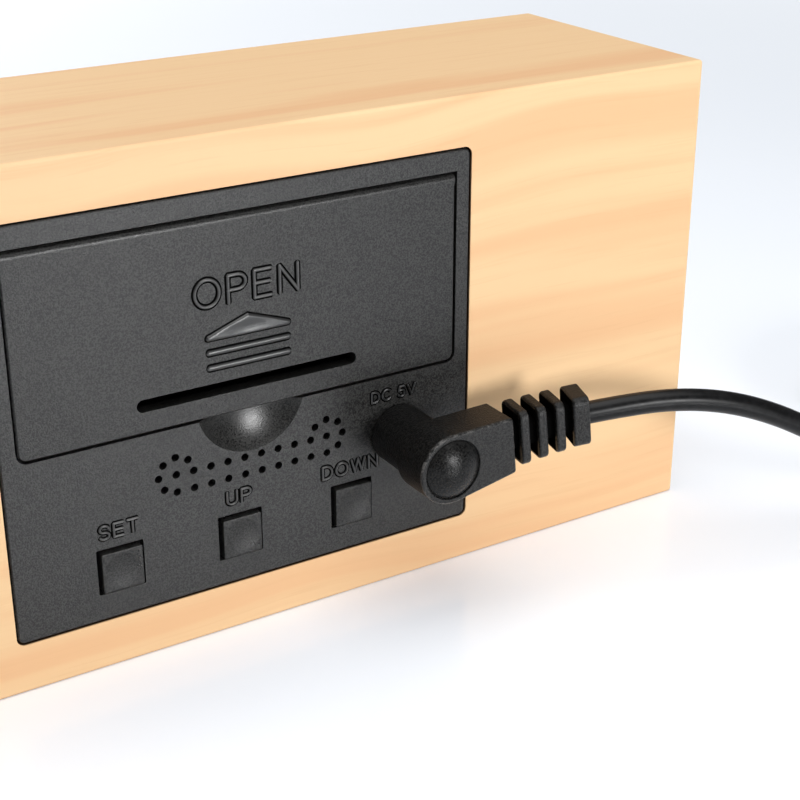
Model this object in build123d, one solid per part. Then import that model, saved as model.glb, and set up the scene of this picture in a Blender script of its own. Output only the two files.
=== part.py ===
from build123d import *
import math
import os

# Wooden digital alarm clock with its supply lead. Millimetres, +Z up. The display faces -Y and the
# control panel faces +Y. The origin is on the standing surface, under the middle of the block.
# Panel places are given as seen from behind: u runs to the right, which is -X, and depths run out of
# the back face, so what lies inside the block has a negative depth.

# Case
CASE_WIDTH = 150.0
CASE_HEIGHT = 70.0
CASE_DEPTH = 43.0
CASE_WALL = 7.0
CASE_EDGE = 0.5
VENEER_THICKNESS = 1.0

# Back panel
PANEL_WIDTH = 68.6
PANEL_GAP = 0.27
PANEL_THICKNESS = 2.0
PANEL_CORNER = 0.9
PANEL_EDGE = 0.2
SKIRT_WALL = 1.2

# Battery door
DOOR_SIDE_MARGIN = 2.4
DOOR_TOP_MARGIN = 3.2
DOOR_RISE = 25.23
DOOR_THICKNESS = 2.0
DOOR_GAP = 0.3
DOOR_SEAT_GAP = 0.2
DOOR_CORNER = 1.2
DOOR_EDGE = 0.2
SLOT_LENGTH = 32.1
SLOT_WIDTH = 1.75
SLOT_RISE = 3.8
TAB_SPACING = 24.0
TAB_WIDTH = 8.0
TAB_ROOT = 4.0
TAB_REACH = 1.4
TAB_THICKNESS = 1.3
TAB_CLEARANCE = 0.25

# Thumb recess under the door
RECESS_RADIUS = 7.95
RECESS_DEPTH = 2.6
RECESS_RISE = 1.8
RECESS_WALL = 1.4

# Battery bay, for two layers of cells in as many rows as its height takes. The room beside it, under
# the door's ends, is for the panel's screws.
CELL_DIAMETER = 10.5
CELL_LAYERS = 2
CELL_CLEARANCE = 0.5
BAY_SIDE_ROOM = 6.4
BAY_WALL = 1.5
BAY_SILL = 1.8
LEDGE_THICKNESS = 3.6
LEDGE_LAP = 1.0
PLATE_SIZE = 8.0
PLATE_THICKNESS = 0.4
SPRING_WIRE = 0.6
SPRING_BASE = 7.0
SPRING_TIP = 4.6
SPRING_LENGTH = 6.4
SPRING_TURNS = 4
SPRING_SEAT = 0.15

# Cleats and the screws that hold the panel to them
CLEAT_WIDTH = 5.0
CLEAT_DEPTH = 10.0
CLEAT_GAP = 0.3
PANEL_SCREW_DIAMETER = 2.6
PANEL_SCREW_LENGTH = 9.0
PANEL_SCREW_HEAD = 4.4
PANEL_SCREW_HEAD_HEIGHT = 1.5
SCREW_CLEARANCE = 0.1
HEAD_CLEARANCE = 0.2
DRIVE_WIDTH = 0.6
DRIVE_DEPTH = 0.7

# Sound holes: two rows whose ends swell into rings
HOLE_DIAMETER = 1.1
HOLE_PITCH = 2.5
UPPER_HOLES = 12
LOWER_HOLES = 10
GRILLE_RISE = 15.82

# Push buttons and their switches
BUTTON_SIZE = 5.7
BUTTON_GAP = 0.45
BUTTON_CORNER = 0.2
BUTTON_EDGE = 0.12
BUTTON_PROUD = 0.7
BUTTON_DISH_DIAMETER = 5.0
BUTTON_DISH_DEPTH = 0.18
BUTTON_RISE = 7.08
BUTTON_PITCH = 17.4
BUTTON_SHIFT = 2.35
FLANGE_OVERHANG = 1.0
FLANGE_THICKNESS = 1.2
STEM_DIAMETER = 4.0
SWITCH_SIZE = 6.0
SWITCH_HEIGHT = 3.5
PLUNGER_DIAMETER = 3.4
PLUNGER_RISE = 1.5
PLUNGER_SINK = 1.0
PLUNGER_ROOM = 0.6
PLUNGER_CLEARANCE = 0.15

# Main board
CIRCUIT_WIDTH = 53.0
CIRCUIT_SETBACK = 13.0
CIRCUIT_THICKNESS = 1.6
CIRCUIT_MARGIN = 0.6
BOSS_DIAMETER = 4.4
BOSS_PILOT_DEPTH = 8.0
BOSS_SIDE = 22.5
BOSS_RISE = 21.0
BOARD_SCREW_DIAMETER = 1.8
BOARD_SCREW_LENGTH = 7.0
BOARD_SCREW_HEAD = 3.6
BOARD_SCREW_HEAD_HEIGHT = 1.2
CHIP_WIDTH = 12.8
CHIP_HEIGHT = 7.6
CHIP_THICKNESS = 1.7
CHIP_SHIFT = 13.0
CAPACITOR_DIAMETER = 5.0
CAPACITOR_HEIGHT = 7.0
CAPACITOR_PITCH = 6.5
REGULATOR_SIZE = 4.5
REGULATOR_THICKNESS = 1.6
BUZZER_DIAMETER = 11.5
BUZZER_HEIGHT = 6.5
BUZZER_PORT = 2.5
BUZZER_PORT_DEPTH = 1.5
MICROPHONE_DIAMETER = 9.4
MICROPHONE_HEIGHT = 6.5
MICROPHONE_LIP = 0.5

# Supply jack
JACK_OFFSET = 22.7
JACK_RISE = 16.13
JACK_SIZE = 8.4
JACK_BORE = 6.0
JACK_FLOOR = 1.5
JACK_EDGE = 0.4
PIN_DIAMETER = 1.9
PIN_SETBACK = 1.0
PIN_NOSE = 0.5
LEAF_THICKNESS = 0.35
LEAF_WIDTH = 2.6
LEAF_LENGTH = 6.0

# Ribbon between the two boards
RIBBON_WIDTH = 14.0
RIBBON_THICKNESS = 0.8
RIBBON_RISE = 9.8
SOCKET_WALL = 1.2
SOCKET_HEIGHT = 5.0

# Display
DIGIT_WIDTH = 15.0
DIGIT_HEIGHT = 27.0
DIGIT_PITCH = 21.5
COLON_ROOM = 9.0
SEGMENT_WIDTH = 2.8
SEGMENT_GAP = 0.6
COLON_SPACING = 11.0
MASK_MARGIN = 7.0
MASK_THICKNESS = 6.0
DIFFUSER_THICKNESS = 0.4
LED_BOARD_THICKNESS = 1.6
LED_LENGTH = 2.4
LED_WIDTH = 1.4
LED_HEIGHT = 1.1
STAKE_DIAMETER = 2.0
STAKE_CLEARANCE = 0.1
STAKE_INSET = 3.0
STAKE_HEAD = 0.8

# Right-angle plug
PLUG_SWIVEL = 6.0
PLUG_GAP = 0.3
NECK_DIAMETER = 8.6
HEAD_DIAMETER = 10.2
HEAD_FRONT = 14.3
HEAD_DEPTH = 6.1
HEAD_EDGE = 0.45
DOME_DIAMETER = 8.4
DOME_RISE = 1.6
DOME_SINK = 0.2
DOME_GAP = 0.05
DOME_LIP = 0.15
BODY_LENGTH = 10.2
BODY_CORNER = 0.5
BODY_END_HEIGHT = 8.5
RIB_COUNT = 3
RIB_START = 12.7
RIB_PITCH = 2.8
RIB_THICKNESS = 1.4
RIB_HEIGHT = 8.3
RIB_TAPER = 0.24
RIB_DEPTH = 5.8
RIB_CORNER = 1.1
RIB_EDGE = 0.32
RELIEF_RADIUS = 90.0
RELIEF_HEADING = 5.5
RELIEF_SETBACK = 0.5
CORE_HEIGHT = 4.2
CORE_DEPTH = 3.4
CORE_ROOT = 0.6
END_BLOCK_MIDDLE = 21.75
END_BLOCK_LENGTH = 2.5
END_BLOCK_HEIGHT = 7.6
END_BLOCK_TURN = 4.0
BARREL_DIAMETER = 5.5
BARREL_LENGTH = 9.5
BARREL_ROOT = 4.0
BARREL_WALL = 0.6
LINER_WALL = 0.6
CONTACT_WALL = 0.4
SLEEVE_CLEARANCE = 0.05
CONTACT_SETBACK = 0.6

# Lead
CORD_DIAMETER = 3.3
CORD_SEAT = 0.3
ARC_SHARE = 0.45
COIL_RADIUS = 25.0
COIL_GAP = 0.45
COIL_TURNS = 6
COIL_SAMPLES = 48
TIE_THICKNESS = 0.5
TIE_WIDTH = 6.0
TIE_CLEARANCE = 0.2
TIE_SIDE_CLEARANCE = 0.5

# Supply end of the lead
USB_BOOT_LENGTH = 18.0
USB_BOOT_WIDTH = 15.6
USB_BOOT_THICKNESS = 8.4
USB_BOOT_CORNER = 1.8
USB_BOOT_EDGE = 0.6
USB_RELIEF_LENGTH = 5.0
USB_RELIEF_DIAMETER = 6.4
USB_RELIEF_WALL = 0.5
USB_SHELL_LENGTH = 11.7
USB_SHELL_ROOT = 5.0
USB_SHELL_WIDTH = 12.0
USB_SHELL_HEIGHT = 4.5
USB_SHELL_WALL = 0.3
USB_SHELL_CORNER = 0.5
USB_LATCH_SIZE = 2.4
USB_LATCH_SPACING = 5.6
USB_LATCH_SETBACK = 5.2
USB_TONGUE_THICKNESS = 1.84
USB_TONGUE_SETBACK = 0.6
USB_CONTACT_COUNT = 4
USB_CONTACT_PITCH = 2.3
USB_CONTACT_WIDTH = 1.1
USB_CONTACT_THICKNESS = 0.15
USB_CONTACT_SETBACK = 1.2
USB_CONTACT_LENGTH = 6.4

OVERRUN = 1.0

# The lead from the strain relief to its coil: how far past the relief, how far further out of the back,
# and the height above the standing surface. The first point is the relief's own end.
LEAD_ROUTE = [
    (7.2, 2.15, 26.45),
    (14.4, 4.2, 26.2),
    (21.4, 6.05, 24.8),
    (28.2, 7.7, 22.2),
    (34.9, 9.1, 18.6),
    (41.6, 10.3, 14.3),
    (48.5, 11.35, 9.9),
    (55.6, 12.25, 6.15),
    (62.9, 13.05, 3.5),
    (70.2, 13.75, 2.1),
    (77.3, 14.25, 1.9),
    (84.2, 14.5, 2.35),
    (91.2, 14.5, 2.35),
]

# The lead from the coil to the supply plug, measured from the coil's middle in the same way.
TAIL_ROUTE = [
    (3.3, 25.0, 6.1),
    (9.5, 25.0, 6.1),
    (18.0, 23.8, 5.6),
    (25.6, 19.6, 4.95),
    (31.4, 13.2, 4.45),
    (34.2, 5.2, 4.2),
    (34.2, -2.0, 4.2),
]

# Derived places
back_y = CASE_DEPTH / 2
front_y = -CASE_DEPTH / 2
veneer_depth = VENEER_THICKNESS - CASE_DEPTH
panel_low = CASE_WALL + PANEL_GAP
panel_top = CASE_HEIGHT - CASE_WALL - PANEL_GAP
panel_height = panel_top - panel_low
panel_middle = (panel_low + panel_top) / 2
door_width = PANEL_WIDTH - 2 * DOOR_SIDE_MARGIN
door_low = panel_low + DOOR_RISE
door_top = panel_top - DOOR_TOP_MARGIN
door_middle = (door_low + door_top) / 2
door_seat = -(DOOR_THICKNESS + DOOR_SEAT_GAP)
ledge_back = door_seat - LEDGE_THICKNESS
bay_half = door_width / 2 - BAY_SIDE_ROOM
bay_low = door_low + BAY_SILL
bay_top = panel_top - SKIRT_WALL
bay_floor = door_seat - CELL_LAYERS * (CELL_DIAMETER + CELL_CLEARANCE)
row_pitch = CELL_DIAMETER + 2 * CELL_CLEARANCE
row_middle = (bay_low + bay_top) / 2
row_count = max(1, int((bay_top - bay_low) // row_pitch))
cleat_inner = bay_half + BAY_WALL + CLEAT_GAP
cleat_middle = cleat_inner + CLEAT_WIDTH / 2
grille_low = panel_low + GRILLE_RISE
grille_high = grille_low + HOLE_PITCH
ring_offset = HOLE_PITCH * (LOWER_HOLES - 1) / 2
button_z = panel_low + BUTTON_RISE
button_places = {
    "set": -BUTTON_SHIFT - BUTTON_PITCH,
    "up": -BUTTON_SHIFT,
    "down": -BUTTON_SHIFT + BUTTON_PITCH,
}
circuit_face = -CIRCUIT_SETBACK
circuit_rear = circuit_face - CIRCUIT_THICKNESS
circuit_low = panel_low + SKIRT_WALL + CIRCUIT_MARGIN
circuit_top = bay_low - BAY_WALL - CIRCUIT_MARGIN
boss_places = [
    (-BUTTON_SHIFT - BUTTON_PITCH / 2, button_z),
    (-BUTTON_SHIFT + BUTTON_PITCH / 2, button_z),
    (-BOSS_SIDE, panel_low + BOSS_RISE),
]
switch_face = circuit_face + SWITCH_HEIGHT
plunger_face = switch_face + PLUNGER_RISE
jack_z = panel_low + JACK_RISE
ribbon_z = circuit_low + RIBBON_RISE
diffuser_rear = veneer_depth + DIFFUSER_THICKNESS
mask_rear = diffuser_rear + MASK_THICKNESS
led_rear = mask_rear + LED_BOARD_THICKNESS
display_z = CASE_HEIGHT / 2
digit_places = [
    side * (COLON_ROOM / 2 + DIGIT_WIDTH / 2 + step * DIGIT_PITCH)
    for side, step in ((-1, 1), (-1, 0), (1, 0), (1, 1))
]
mask_width = 2 * (digit_places[-1] + DIGIT_WIDTH / 2 + MASK_MARGIN)
mask_height = DIGIT_HEIGHT + 2 * MASK_MARGIN
coil_pitch = CORD_DIAMETER + COIL_GAP
coil_low = TIE_THICKNESS + TIE_CLEARANCE + CORD_DIAMETER / 2
coil_high = coil_low + coil_pitch


def slab(x0, x1, y0, y1, z0, z1):
    """A box between two corners."""
    return Pos((x0 + x1) / 2, (y0 + y1) / 2, (z0 + z1) / 2) * Box(abs(x1 - x0), abs(y1 - y0), abs(z1 - z0))


def block(u0, u1, depth0, depth1, z0, z1):
    """A box given as seen from behind, between two depths out of the back face."""
    return slab(-u1, -u0, back_y + depth0, back_y + depth1, z0, z1)


def back_plane(depth):
    """A drawing plane parallel to the back face, with u and z as its axes."""
    return Plane(origin=(0, back_y + depth, 0), x_dir=(-1, 0, 0), z_dir=(0, 1, 0))


def plate(u, z, width, height, corner, depth0, depth1):
    """A plate with round corners between two depths."""
    outline = back_plane(depth0) * Pos(u, z) * RectangleRounded(width, height, corner)
    return extrude(outline, amount=depth1 - depth0)


def bar(u, z, diameter, depth0, depth1):
    """A round bar square to the back face, between two depths."""
    return extrude(back_plane(depth0) * Pos(u, z) * Circle(diameter / 2), amount=depth1 - depth0)


def outer_face(solid):
    return solid.faces().sort_by(Axis.Y)[-1]


def arc_pair(start, start_way, end, end_way):
    """Two arcs that leave start and reach end along the given directions and meet smoothly."""
    chord = end - start
    square = 2 * (start_way.dot(end_way) - 1)
    linear = -2 * chord.dot(start_way + end_way)
    reach = (-linear - math.sqrt(linear**2 - 4 * square * chord.dot(chord))) / (2 * square)
    near, far = start + start_way * reach, end - end_way * reach
    middle = (near + far) * 0.5
    return [
        Edge.make_tangent_arc(start, start_way, middle),
        Edge.make_tangent_arc(middle, (far - near).normalized(), end),
    ]


def wound_edges(curve, turns, first_way=None, last_way=None):
    """A winding as pairs of arcs, a pair for each quarter turn. curve gives a point for a count of turns."""
    quarters = 4 * turns
    nudge = 1 / (1000 * quarters)
    points = [curve(i / 4) for i in range(quarters + 1)]
    ways = [(curve(i / 4 + nudge) - curve(i / 4 - nudge)).normalized() for i in range(quarters + 1)]
    ways[0] = first_way or ways[0]
    ways[-1] = last_way or ways[-1]
    edges = []
    for i in range(quarters):
        edges += arc_pair(points[i], ways[i], points[i + 1], ways[i + 1])
    return edges


def least_gap(curve, turns, thickness):
    """The least clear gap between one part of a winding and another, measured on points."""
    points = [curve(i / COIL_SAMPLES) for i in range(turns * COIL_SAMPLES + 1)]
    apart = COIL_SAMPLES // 2
    return min((a - b).length for i, a in enumerate(points) for b in points[i + apart:]) - thickness


def tube(edges, diameter):
    """A round bar swept along edges that meet smoothly."""
    path = Wire(edges)
    start = Plane(origin=path.position_at(0), z_dir=path.tangent_at(0))
    return sweep(start * Circle(diameter / 2), path=path)


def cord_along(name, points):
    """A cord on straight runs joined by arcs as large as the runs allow."""
    places = [Vector(*p) for p in points]
    runs = [b - a for a, b in zip(places, places[1:])]
    radii = []
    for before, after in zip(runs, runs[1:]):
        half_turn = math.radians(before.get_angle(after)) / 2
        radii.append(ARC_SHARE * min(before.length, after.length) / math.tan(half_turn))
    line = FilletPolyline(*places, radius=radii)
    solid = sweep(Plane(origin=line @ 0, z_dir=line % 0) * Circle(CORD_DIAMETER / 2), path=line)
    section = math.pi * CORD_DIAMETER**2 / 4
    print(name, "length", round(line.length, 1), "radii", [round(r, 1) for r in radii])
    print(name, "volume over section times length", round(solid.volume / (section * line.length), 4))
    return solid


# Case pieces


def make_case():
    body = slab(-CASE_WIDTH / 2, CASE_WIDTH / 2, front_y + VENEER_THICKNESS, back_y, 0, CASE_HEIGHT)
    body = fillet(body.edges().filter_by(Axis.Y) + outer_face(body).edges(), CASE_EDGE)
    cavity = slab(
        -CASE_WIDTH / 2 + CASE_WALL,
        CASE_WIDTH / 2 - CASE_WALL,
        front_y,
        back_y - CASE_WALL,
        CASE_WALL,
        CASE_HEIGHT - CASE_WALL,
    )
    window = plate(
        0,
        panel_middle,
        PANEL_WIDTH + 2 * PANEL_GAP,
        panel_height + 2 * PANEL_GAP,
        PANEL_CORNER + PANEL_GAP,
        -CASE_WALL - OVERRUN,
        OVERRUN,
    )
    return body - cavity - window


def make_veneer():
    sheet = slab(-CASE_WIDTH / 2, CASE_WIDTH / 2, front_y, front_y + VENEER_THICKNESS, 0, CASE_HEIGHT)
    front = sheet.faces().sort_by(Axis.Y)[0]
    return fillet(sheet.edges().filter_by(Axis.Y) + front.edges(), CASE_EDGE)


def panel_screw_places():
    return [(side * cleat_middle, door_middle) for side in (-1, 1)]


def make_cleats():
    """A strip under the top wall at each end of the bay, for a panel screw."""
    cleats = []
    for u, z in panel_screw_places():
        strip = block(
            u - CLEAT_WIDTH / 2,
            u + CLEAT_WIDTH / 2,
            ledge_back - CLEAT_DEPTH,
            ledge_back,
            door_low,
            CASE_HEIGHT - CASE_WALL,
        )
        hole = bar(u, z, PANEL_SCREW_DIAMETER + 2 * SCREW_CLEARANCE, ledge_back - CLEAT_DEPTH, ledge_back)
        cleats.append(strip - hole)
    return cleats


def screw(u, z, diameter, length, head, head_height, seat, way):
    """A pan-head screw whose head sits on the depth seat. way is -1 where it points into the block."""
    shank = bar(u, z, diameter, min(seat, seat + way * length), max(seat, seat + way * length))
    top = bar(u, z, head, min(seat, seat - way * head_height), max(seat, seat - way * head_height))
    crown = seat - way * head_height
    slot_floor = crown + way * DRIVE_DEPTH
    low, high = min(crown, slot_floor), max(crown, slot_floor)
    for wide, tall in ((head, DRIVE_WIDTH), (DRIVE_WIDTH, head)):
        top -= block(u - wide / 3, u + wide / 3, low, high, z - tall / 3, z + tall / 3)
    return shank + top


def make_panel_screws():
    seat = door_seat - PANEL_SCREW_HEAD_HEIGHT
    return [
        screw(
            u,
            z,
            PANEL_SCREW_DIAMETER,
            PANEL_SCREW_LENGTH,
            PANEL_SCREW_HEAD,
            PANEL_SCREW_HEAD_HEIGHT,
            seat,
            -1,
        )
        for u, z in panel_screw_places()
    ]


# Back panel and battery door


def sound_holes():
    places = [(HOLE_PITCH * (i - (UPPER_HOLES - 1) / 2), grille_high) for i in range(UPPER_HOLES)]
    places += [(HOLE_PITCH * (i - (LOWER_HOLES - 1) / 2), grille_low) for i in range(LOWER_HOLES)]
    slant = HOLE_PITCH / math.sqrt(2)
    for side in (-1, 1):
        places.append((side * ring_offset, grille_high + HOLE_PITCH))
        places.append((side * (ring_offset - slant), grille_high + slant))
        places.append((side * (ring_offset + slant), grille_high + slant))
        places.append((side * (ring_offset + slant), grille_high - slant))
    return places


def recess_ball(extra):
    """The ball that hollows the thumb recess, or with a wall added its rear bulge."""
    radius = (RECESS_RADIUS**2 + RECESS_DEPTH**2) / (2 * RECESS_DEPTH)
    return Pos(0, back_y + radius - RECESS_DEPTH, door_low + RECESS_RISE) * Sphere(radius + extra)


def make_panel():
    panel = plate(0, panel_middle, PANEL_WIDTH, panel_height, PANEL_CORNER, -PANEL_THICKNESS, 0)
    panel = chamfer(outer_face(panel).edges(), PANEL_EDGE)
    skirt = plate(0, panel_middle, PANEL_WIDTH, panel_height, PANEL_CORNER, ledge_back, -PANEL_THICKNESS)
    skirt -= block(
        SKIRT_WALL - PANEL_WIDTH / 2,
        PANEL_WIDTH / 2 - SKIRT_WALL,
        ledge_back,
        -PANEL_THICKNESS,
        panel_low + SKIRT_WALL,
        panel_top - SKIRT_WALL,
    )
    rim_half = door_width / 2 + DOOR_GAP + LEDGE_LAP
    rim_low = door_low - DOOR_GAP - LEDGE_LAP
    rim = block(-rim_half, rim_half, ledge_back, -PANEL_THICKNESS, rim_low, panel_top - SKIRT_WALL)
    bay_shell = block(
        -bay_half - BAY_WALL,
        bay_half + BAY_WALL,
        bay_floor - BAY_WALL,
        -PANEL_THICKNESS,
        bay_low - BAY_WALL,
        panel_top,
    )
    bulge = recess_ball(RECESS_WALL) & block(
        -PANEL_WIDTH / 2,
        PANEL_WIDTH / 2,
        -RECESS_DEPTH - RECESS_WALL,
        -PANEL_THICKNESS,
        panel_low,
        bay_low,
    )
    panel += [skirt, rim, bay_shell, bulge]
    panel += [bar(u, z, BOSS_DIAMETER, circuit_face, -PANEL_THICKNESS) for u, z in boss_places]

    cuts = [
        extrude(back_plane(door_seat) * door_outline(DOOR_GAP, door_top), amount=OVERRUN - door_seat),
        block(-bay_half, bay_half, bay_floor, -PANEL_THICKNESS, bay_low, bay_top),
        recess_ball(0),
        bar(JACK_OFFSET, jack_z, JACK_BORE, -PANEL_THICKNESS - OVERRUN, OVERRUN),
    ]
    cuts += [bar(u, z, HOLE_DIAMETER, -PANEL_THICKNESS - OVERRUN, OVERRUN) for u, z in sound_holes()]
    hole_size = BUTTON_SIZE + 2 * BUTTON_GAP
    hole_back = -PANEL_THICKNESS - OVERRUN
    for u in button_places.values():
        cuts.append(plate(u, button_z, hole_size, hole_size, BUTTON_CORNER, hole_back, OVERRUN))
    for u, z in boss_places:
        pilot = BOARD_SCREW_DIAMETER + 2 * SCREW_CLEARANCE
        cuts.append(bar(u, z, pilot, circuit_face, circuit_face + BOSS_PILOT_DEPTH))
    head_seat = door_seat - PANEL_SCREW_HEAD_HEIGHT
    for u, z in panel_screw_places():
        cuts.append(bar(u, z, PANEL_SCREW_DIAMETER + 2 * SCREW_CLEARANCE, ledge_back - OVERRUN, door_seat))
        cuts.append(bar(u, z, PANEL_SCREW_HEAD + 2 * HEAD_CLEARANCE, head_seat, door_seat))
    return panel - cuts


def door_outline(grow, top):
    """The door's outline up to a height, grown all round. Its lower corners are round."""
    outline = Rectangle(door_width + 2 * grow, top - door_low + 2 * grow)
    outline = fillet(outline.vertices().sort_by(Axis.Y)[:2], DOOR_CORNER + grow)
    return Pos(0, (top + door_low) / 2) * outline


def make_door():
    straight_top = door_top - DOOR_THICKNESS / 2
    door = extrude(back_plane(-DOOR_THICKNESS) * door_outline(0, straight_top), amount=DOOR_THICKNESS)
    face_edges = outer_face(door).edges().sort_by(Axis.Z)
    door = chamfer(face_edges[:-1], DOOR_EDGE)
    hinge_line = Pos(0, back_y - DOOR_THICKNESS / 2, straight_top) * Rot(0, 90, 0)
    knuckle = hinge_line * Cylinder(DOOR_THICKNESS / 2, door_width)
    slot_place = back_plane(-DOOR_THICKNESS - OVERRUN) * Pos(0, door_low + SLOT_RISE)
    slot = extrude(slot_place * SlotOverall(SLOT_LENGTH, SLOT_WIDTH), amount=DOOR_THICKNESS + 2 * OVERRUN)
    door = door + knuckle - slot
    tab_back = -DOOR_THICKNESS - TAB_CLEARANCE - TAB_THICKNESS
    root_low, root_top = straight_top - TAB_ROOT, straight_top - DOOR_THICKNESS / 4
    for u in (-TAB_SPACING / 2, TAB_SPACING / 2):
        left, right = u - TAB_WIDTH / 2, u + TAB_WIDTH / 2
        door += block(left, right, tab_back, -DOOR_THICKNESS, root_low, root_top)
        door += block(left, right, tab_back, tab_back + TAB_THICKNESS, root_low, door_top + TAB_REACH)
    return door


def cell_places():
    """Row height, depth and the side of the spring for each cell. The sides change from row to row."""
    places = []
    for layer in range(CELL_LAYERS):
        depth = door_seat - (layer + 0.5) * (CELL_DIAMETER + CELL_CLEARANCE)
        for row in range(row_count):
            z = row_middle + (row - (row_count - 1) / 2) * row_pitch
            places.append((z, depth, 1 if row % 2 else -1))
    return places


def make_plates():
    plates = []
    for z, depth, _ in cell_places():
        for side in (-1, 1):
            inner = side * (bay_half - PLATE_THICKNESS)
            plates.append(
                block(
                    min(inner, side * bay_half),
                    max(inner, side * bay_half),
                    depth - PLATE_SIZE / 2,
                    depth + PLATE_SIZE / 2,
                    z - PLATE_SIZE / 2,
                    z + PLATE_SIZE / 2,
                )
            )
    return plates


def make_springs():
    springs = []
    seat = bay_half - PLATE_THICKNESS - SPRING_SEAT - SPRING_WIRE / 2
    for z, depth, side in cell_places():

        def curl(turn, z=z, depth=depth, side=side):
            share = turn / SPRING_TURNS
            radius = (SPRING_BASE + (SPRING_TIP - SPRING_BASE) * share - SPRING_WIRE) / 2
            angle = 2 * math.pi * turn
            x = side * (seat - SPRING_LENGTH * share)
            return Vector(x, back_y + depth + radius * math.cos(angle), z + radius * math.sin(angle))

        springs.append(tube(wound_edges(curl, SPRING_TURNS), SPRING_WIRE))
    print("battery spring least gap", round(least_gap(curl, SPRING_TURNS, SPRING_WIRE), 2))
    return springs


# Buttons and switches


def make_button(u):
    cap = plate(u, button_z, BUTTON_SIZE, BUTTON_SIZE, BUTTON_CORNER, -PANEL_THICKNESS, BUTTON_PROUD)
    cap = fillet(outer_face(cap).edges(), BUTTON_EDGE)
    ball = (BUTTON_DISH_DIAMETER**2 / 4 + BUTTON_DISH_DEPTH**2) / (2 * BUTTON_DISH_DEPTH)
    cap -= Pos(-u, back_y + BUTTON_PROUD - BUTTON_DISH_DEPTH + ball, button_z) * Sphere(ball)
    flange_size = BUTTON_SIZE + 2 * (BUTTON_GAP + FLANGE_OVERHANG)
    flange_back = -PANEL_THICKNESS - FLANGE_THICKNESS
    flange = plate(u, button_z, flange_size, flange_size, BUTTON_CORNER, flange_back, -PANEL_THICKNESS)
    return cap + flange + bar(u, button_z, STEM_DIAMETER, plunger_face, flange_back)


def make_plunger(u):
    return bar(u, button_z, PLUNGER_DIAMETER, switch_face - PLUNGER_SINK, plunger_face)


def make_switches():
    half = SWITCH_SIZE / 2
    bodies = []
    for u in button_places.values():
        body = block(u - half, u + half, circuit_face, switch_face, button_z - half, button_z + half)
        well = PLUNGER_DIAMETER + 2 * PLUNGER_CLEARANCE
        bodies.append(body - bar(u, button_z, well, switch_face - PLUNGER_SINK - PLUNGER_ROOM, switch_face))
    return bodies


# Boards and what is on them


def make_main_board():
    board = block(-CIRCUIT_WIDTH / 2, CIRCUIT_WIDTH / 2, circuit_rear, circuit_face, circuit_low, circuit_top)
    hole = BOARD_SCREW_DIAMETER + 2 * SCREW_CLEARANCE
    return board - [bar(u, z, hole, circuit_rear, circuit_face) for u, z in boss_places]


def make_board_screws():
    return [
        screw(
            u,
            z,
            BOARD_SCREW_DIAMETER,
            BOARD_SCREW_LENGTH,
            BOARD_SCREW_HEAD,
            BOARD_SCREW_HEAD_HEIGHT,
            circuit_rear,
            1,
        )
        for u, z in boss_places
    ]


def make_chip():
    z = circuit_top - CHIP_HEIGHT
    return block(
        CHIP_SHIFT - CHIP_WIDTH / 2,
        CHIP_SHIFT + CHIP_WIDTH / 2,
        circuit_rear - CHIP_THICKNESS,
        circuit_rear,
        z - CHIP_HEIGHT / 2,
        z + CHIP_HEIGHT / 2,
    )


def make_board_parts():
    parts = []
    z = circuit_top - CAPACITOR_DIAMETER
    for step in (-1, 1):
        u = -CHIP_SHIFT + step * CAPACITOR_PITCH / 2
        parts.append(bar(u, z, CAPACITOR_DIAMETER, circuit_rear - CAPACITOR_HEIGHT, circuit_rear))
    low = circuit_low + REGULATOR_SIZE
    parts.append(
        block(
            JACK_OFFSET - REGULATOR_SIZE / 2,
            JACK_OFFSET + REGULATOR_SIZE / 2,
            circuit_rear - REGULATOR_THICKNESS,
            circuit_rear,
            low - REGULATOR_SIZE / 2,
            low + REGULATOR_SIZE / 2,
        )
    )
    return parts


def make_buzzer():
    top = circuit_face + BUZZER_HEIGHT
    can = bar(ring_offset, grille_high, BUZZER_DIAMETER, circuit_face, top)
    return can - bar(ring_offset, grille_high, BUZZER_PORT, top - BUZZER_PORT_DEPTH, top)


def make_microphone():
    top = circuit_face + MICROPHONE_HEIGHT
    can = bar(-ring_offset, grille_high, MICROPHONE_DIAMETER, circuit_face, top)
    mouth = MICROPHONE_DIAMETER - 4 * MICROPHONE_LIP
    return can - bar(-ring_offset, grille_high, mouth, top - MICROPHONE_LIP, top)


def make_jack_body():
    half = JACK_SIZE / 2
    low, high = jack_z - half, jack_z + half
    left, right = JACK_OFFSET - half, JACK_OFFSET + half
    body = block(left, right, circuit_face, -PANEL_THICKNESS, low, high)
    body = fillet(body.edges().filter_by(Axis.Y), JACK_EDGE)
    bore_floor = circuit_face + JACK_FLOOR
    pocket = block(
        JACK_OFFSET - LEAF_WIDTH / 2,
        JACK_OFFSET + LEAF_WIDTH / 2,
        bore_floor,
        bore_floor + LEAF_LENGTH,
        jack_z - JACK_BORE / 2 - LEAF_THICKNESS,
        jack_z,
    )
    pin_hole = bar(JACK_OFFSET, jack_z, PIN_DIAMETER, circuit_face, bore_floor)
    return body - bar(JACK_OFFSET, jack_z, JACK_BORE, bore_floor, -PANEL_THICKNESS) - pocket - pin_hole


def make_jack_pin():
    tip = -PANEL_THICKNESS - PIN_SETBACK
    pin = bar(JACK_OFFSET, jack_z, PIN_DIAMETER, circuit_face, tip)
    return fillet(outer_face(pin).edges(), PIN_NOSE)


def make_jack_leaf():
    low = jack_z - JACK_BORE / 2 - LEAF_THICKNESS
    start = circuit_face + JACK_FLOOR
    left, right = JACK_OFFSET - LEAF_WIDTH / 2, JACK_OFFSET + LEAF_WIDTH / 2
    return block(left, right, start, start + LEAF_LENGTH, low, low + LEAF_THICKNESS)


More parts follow.
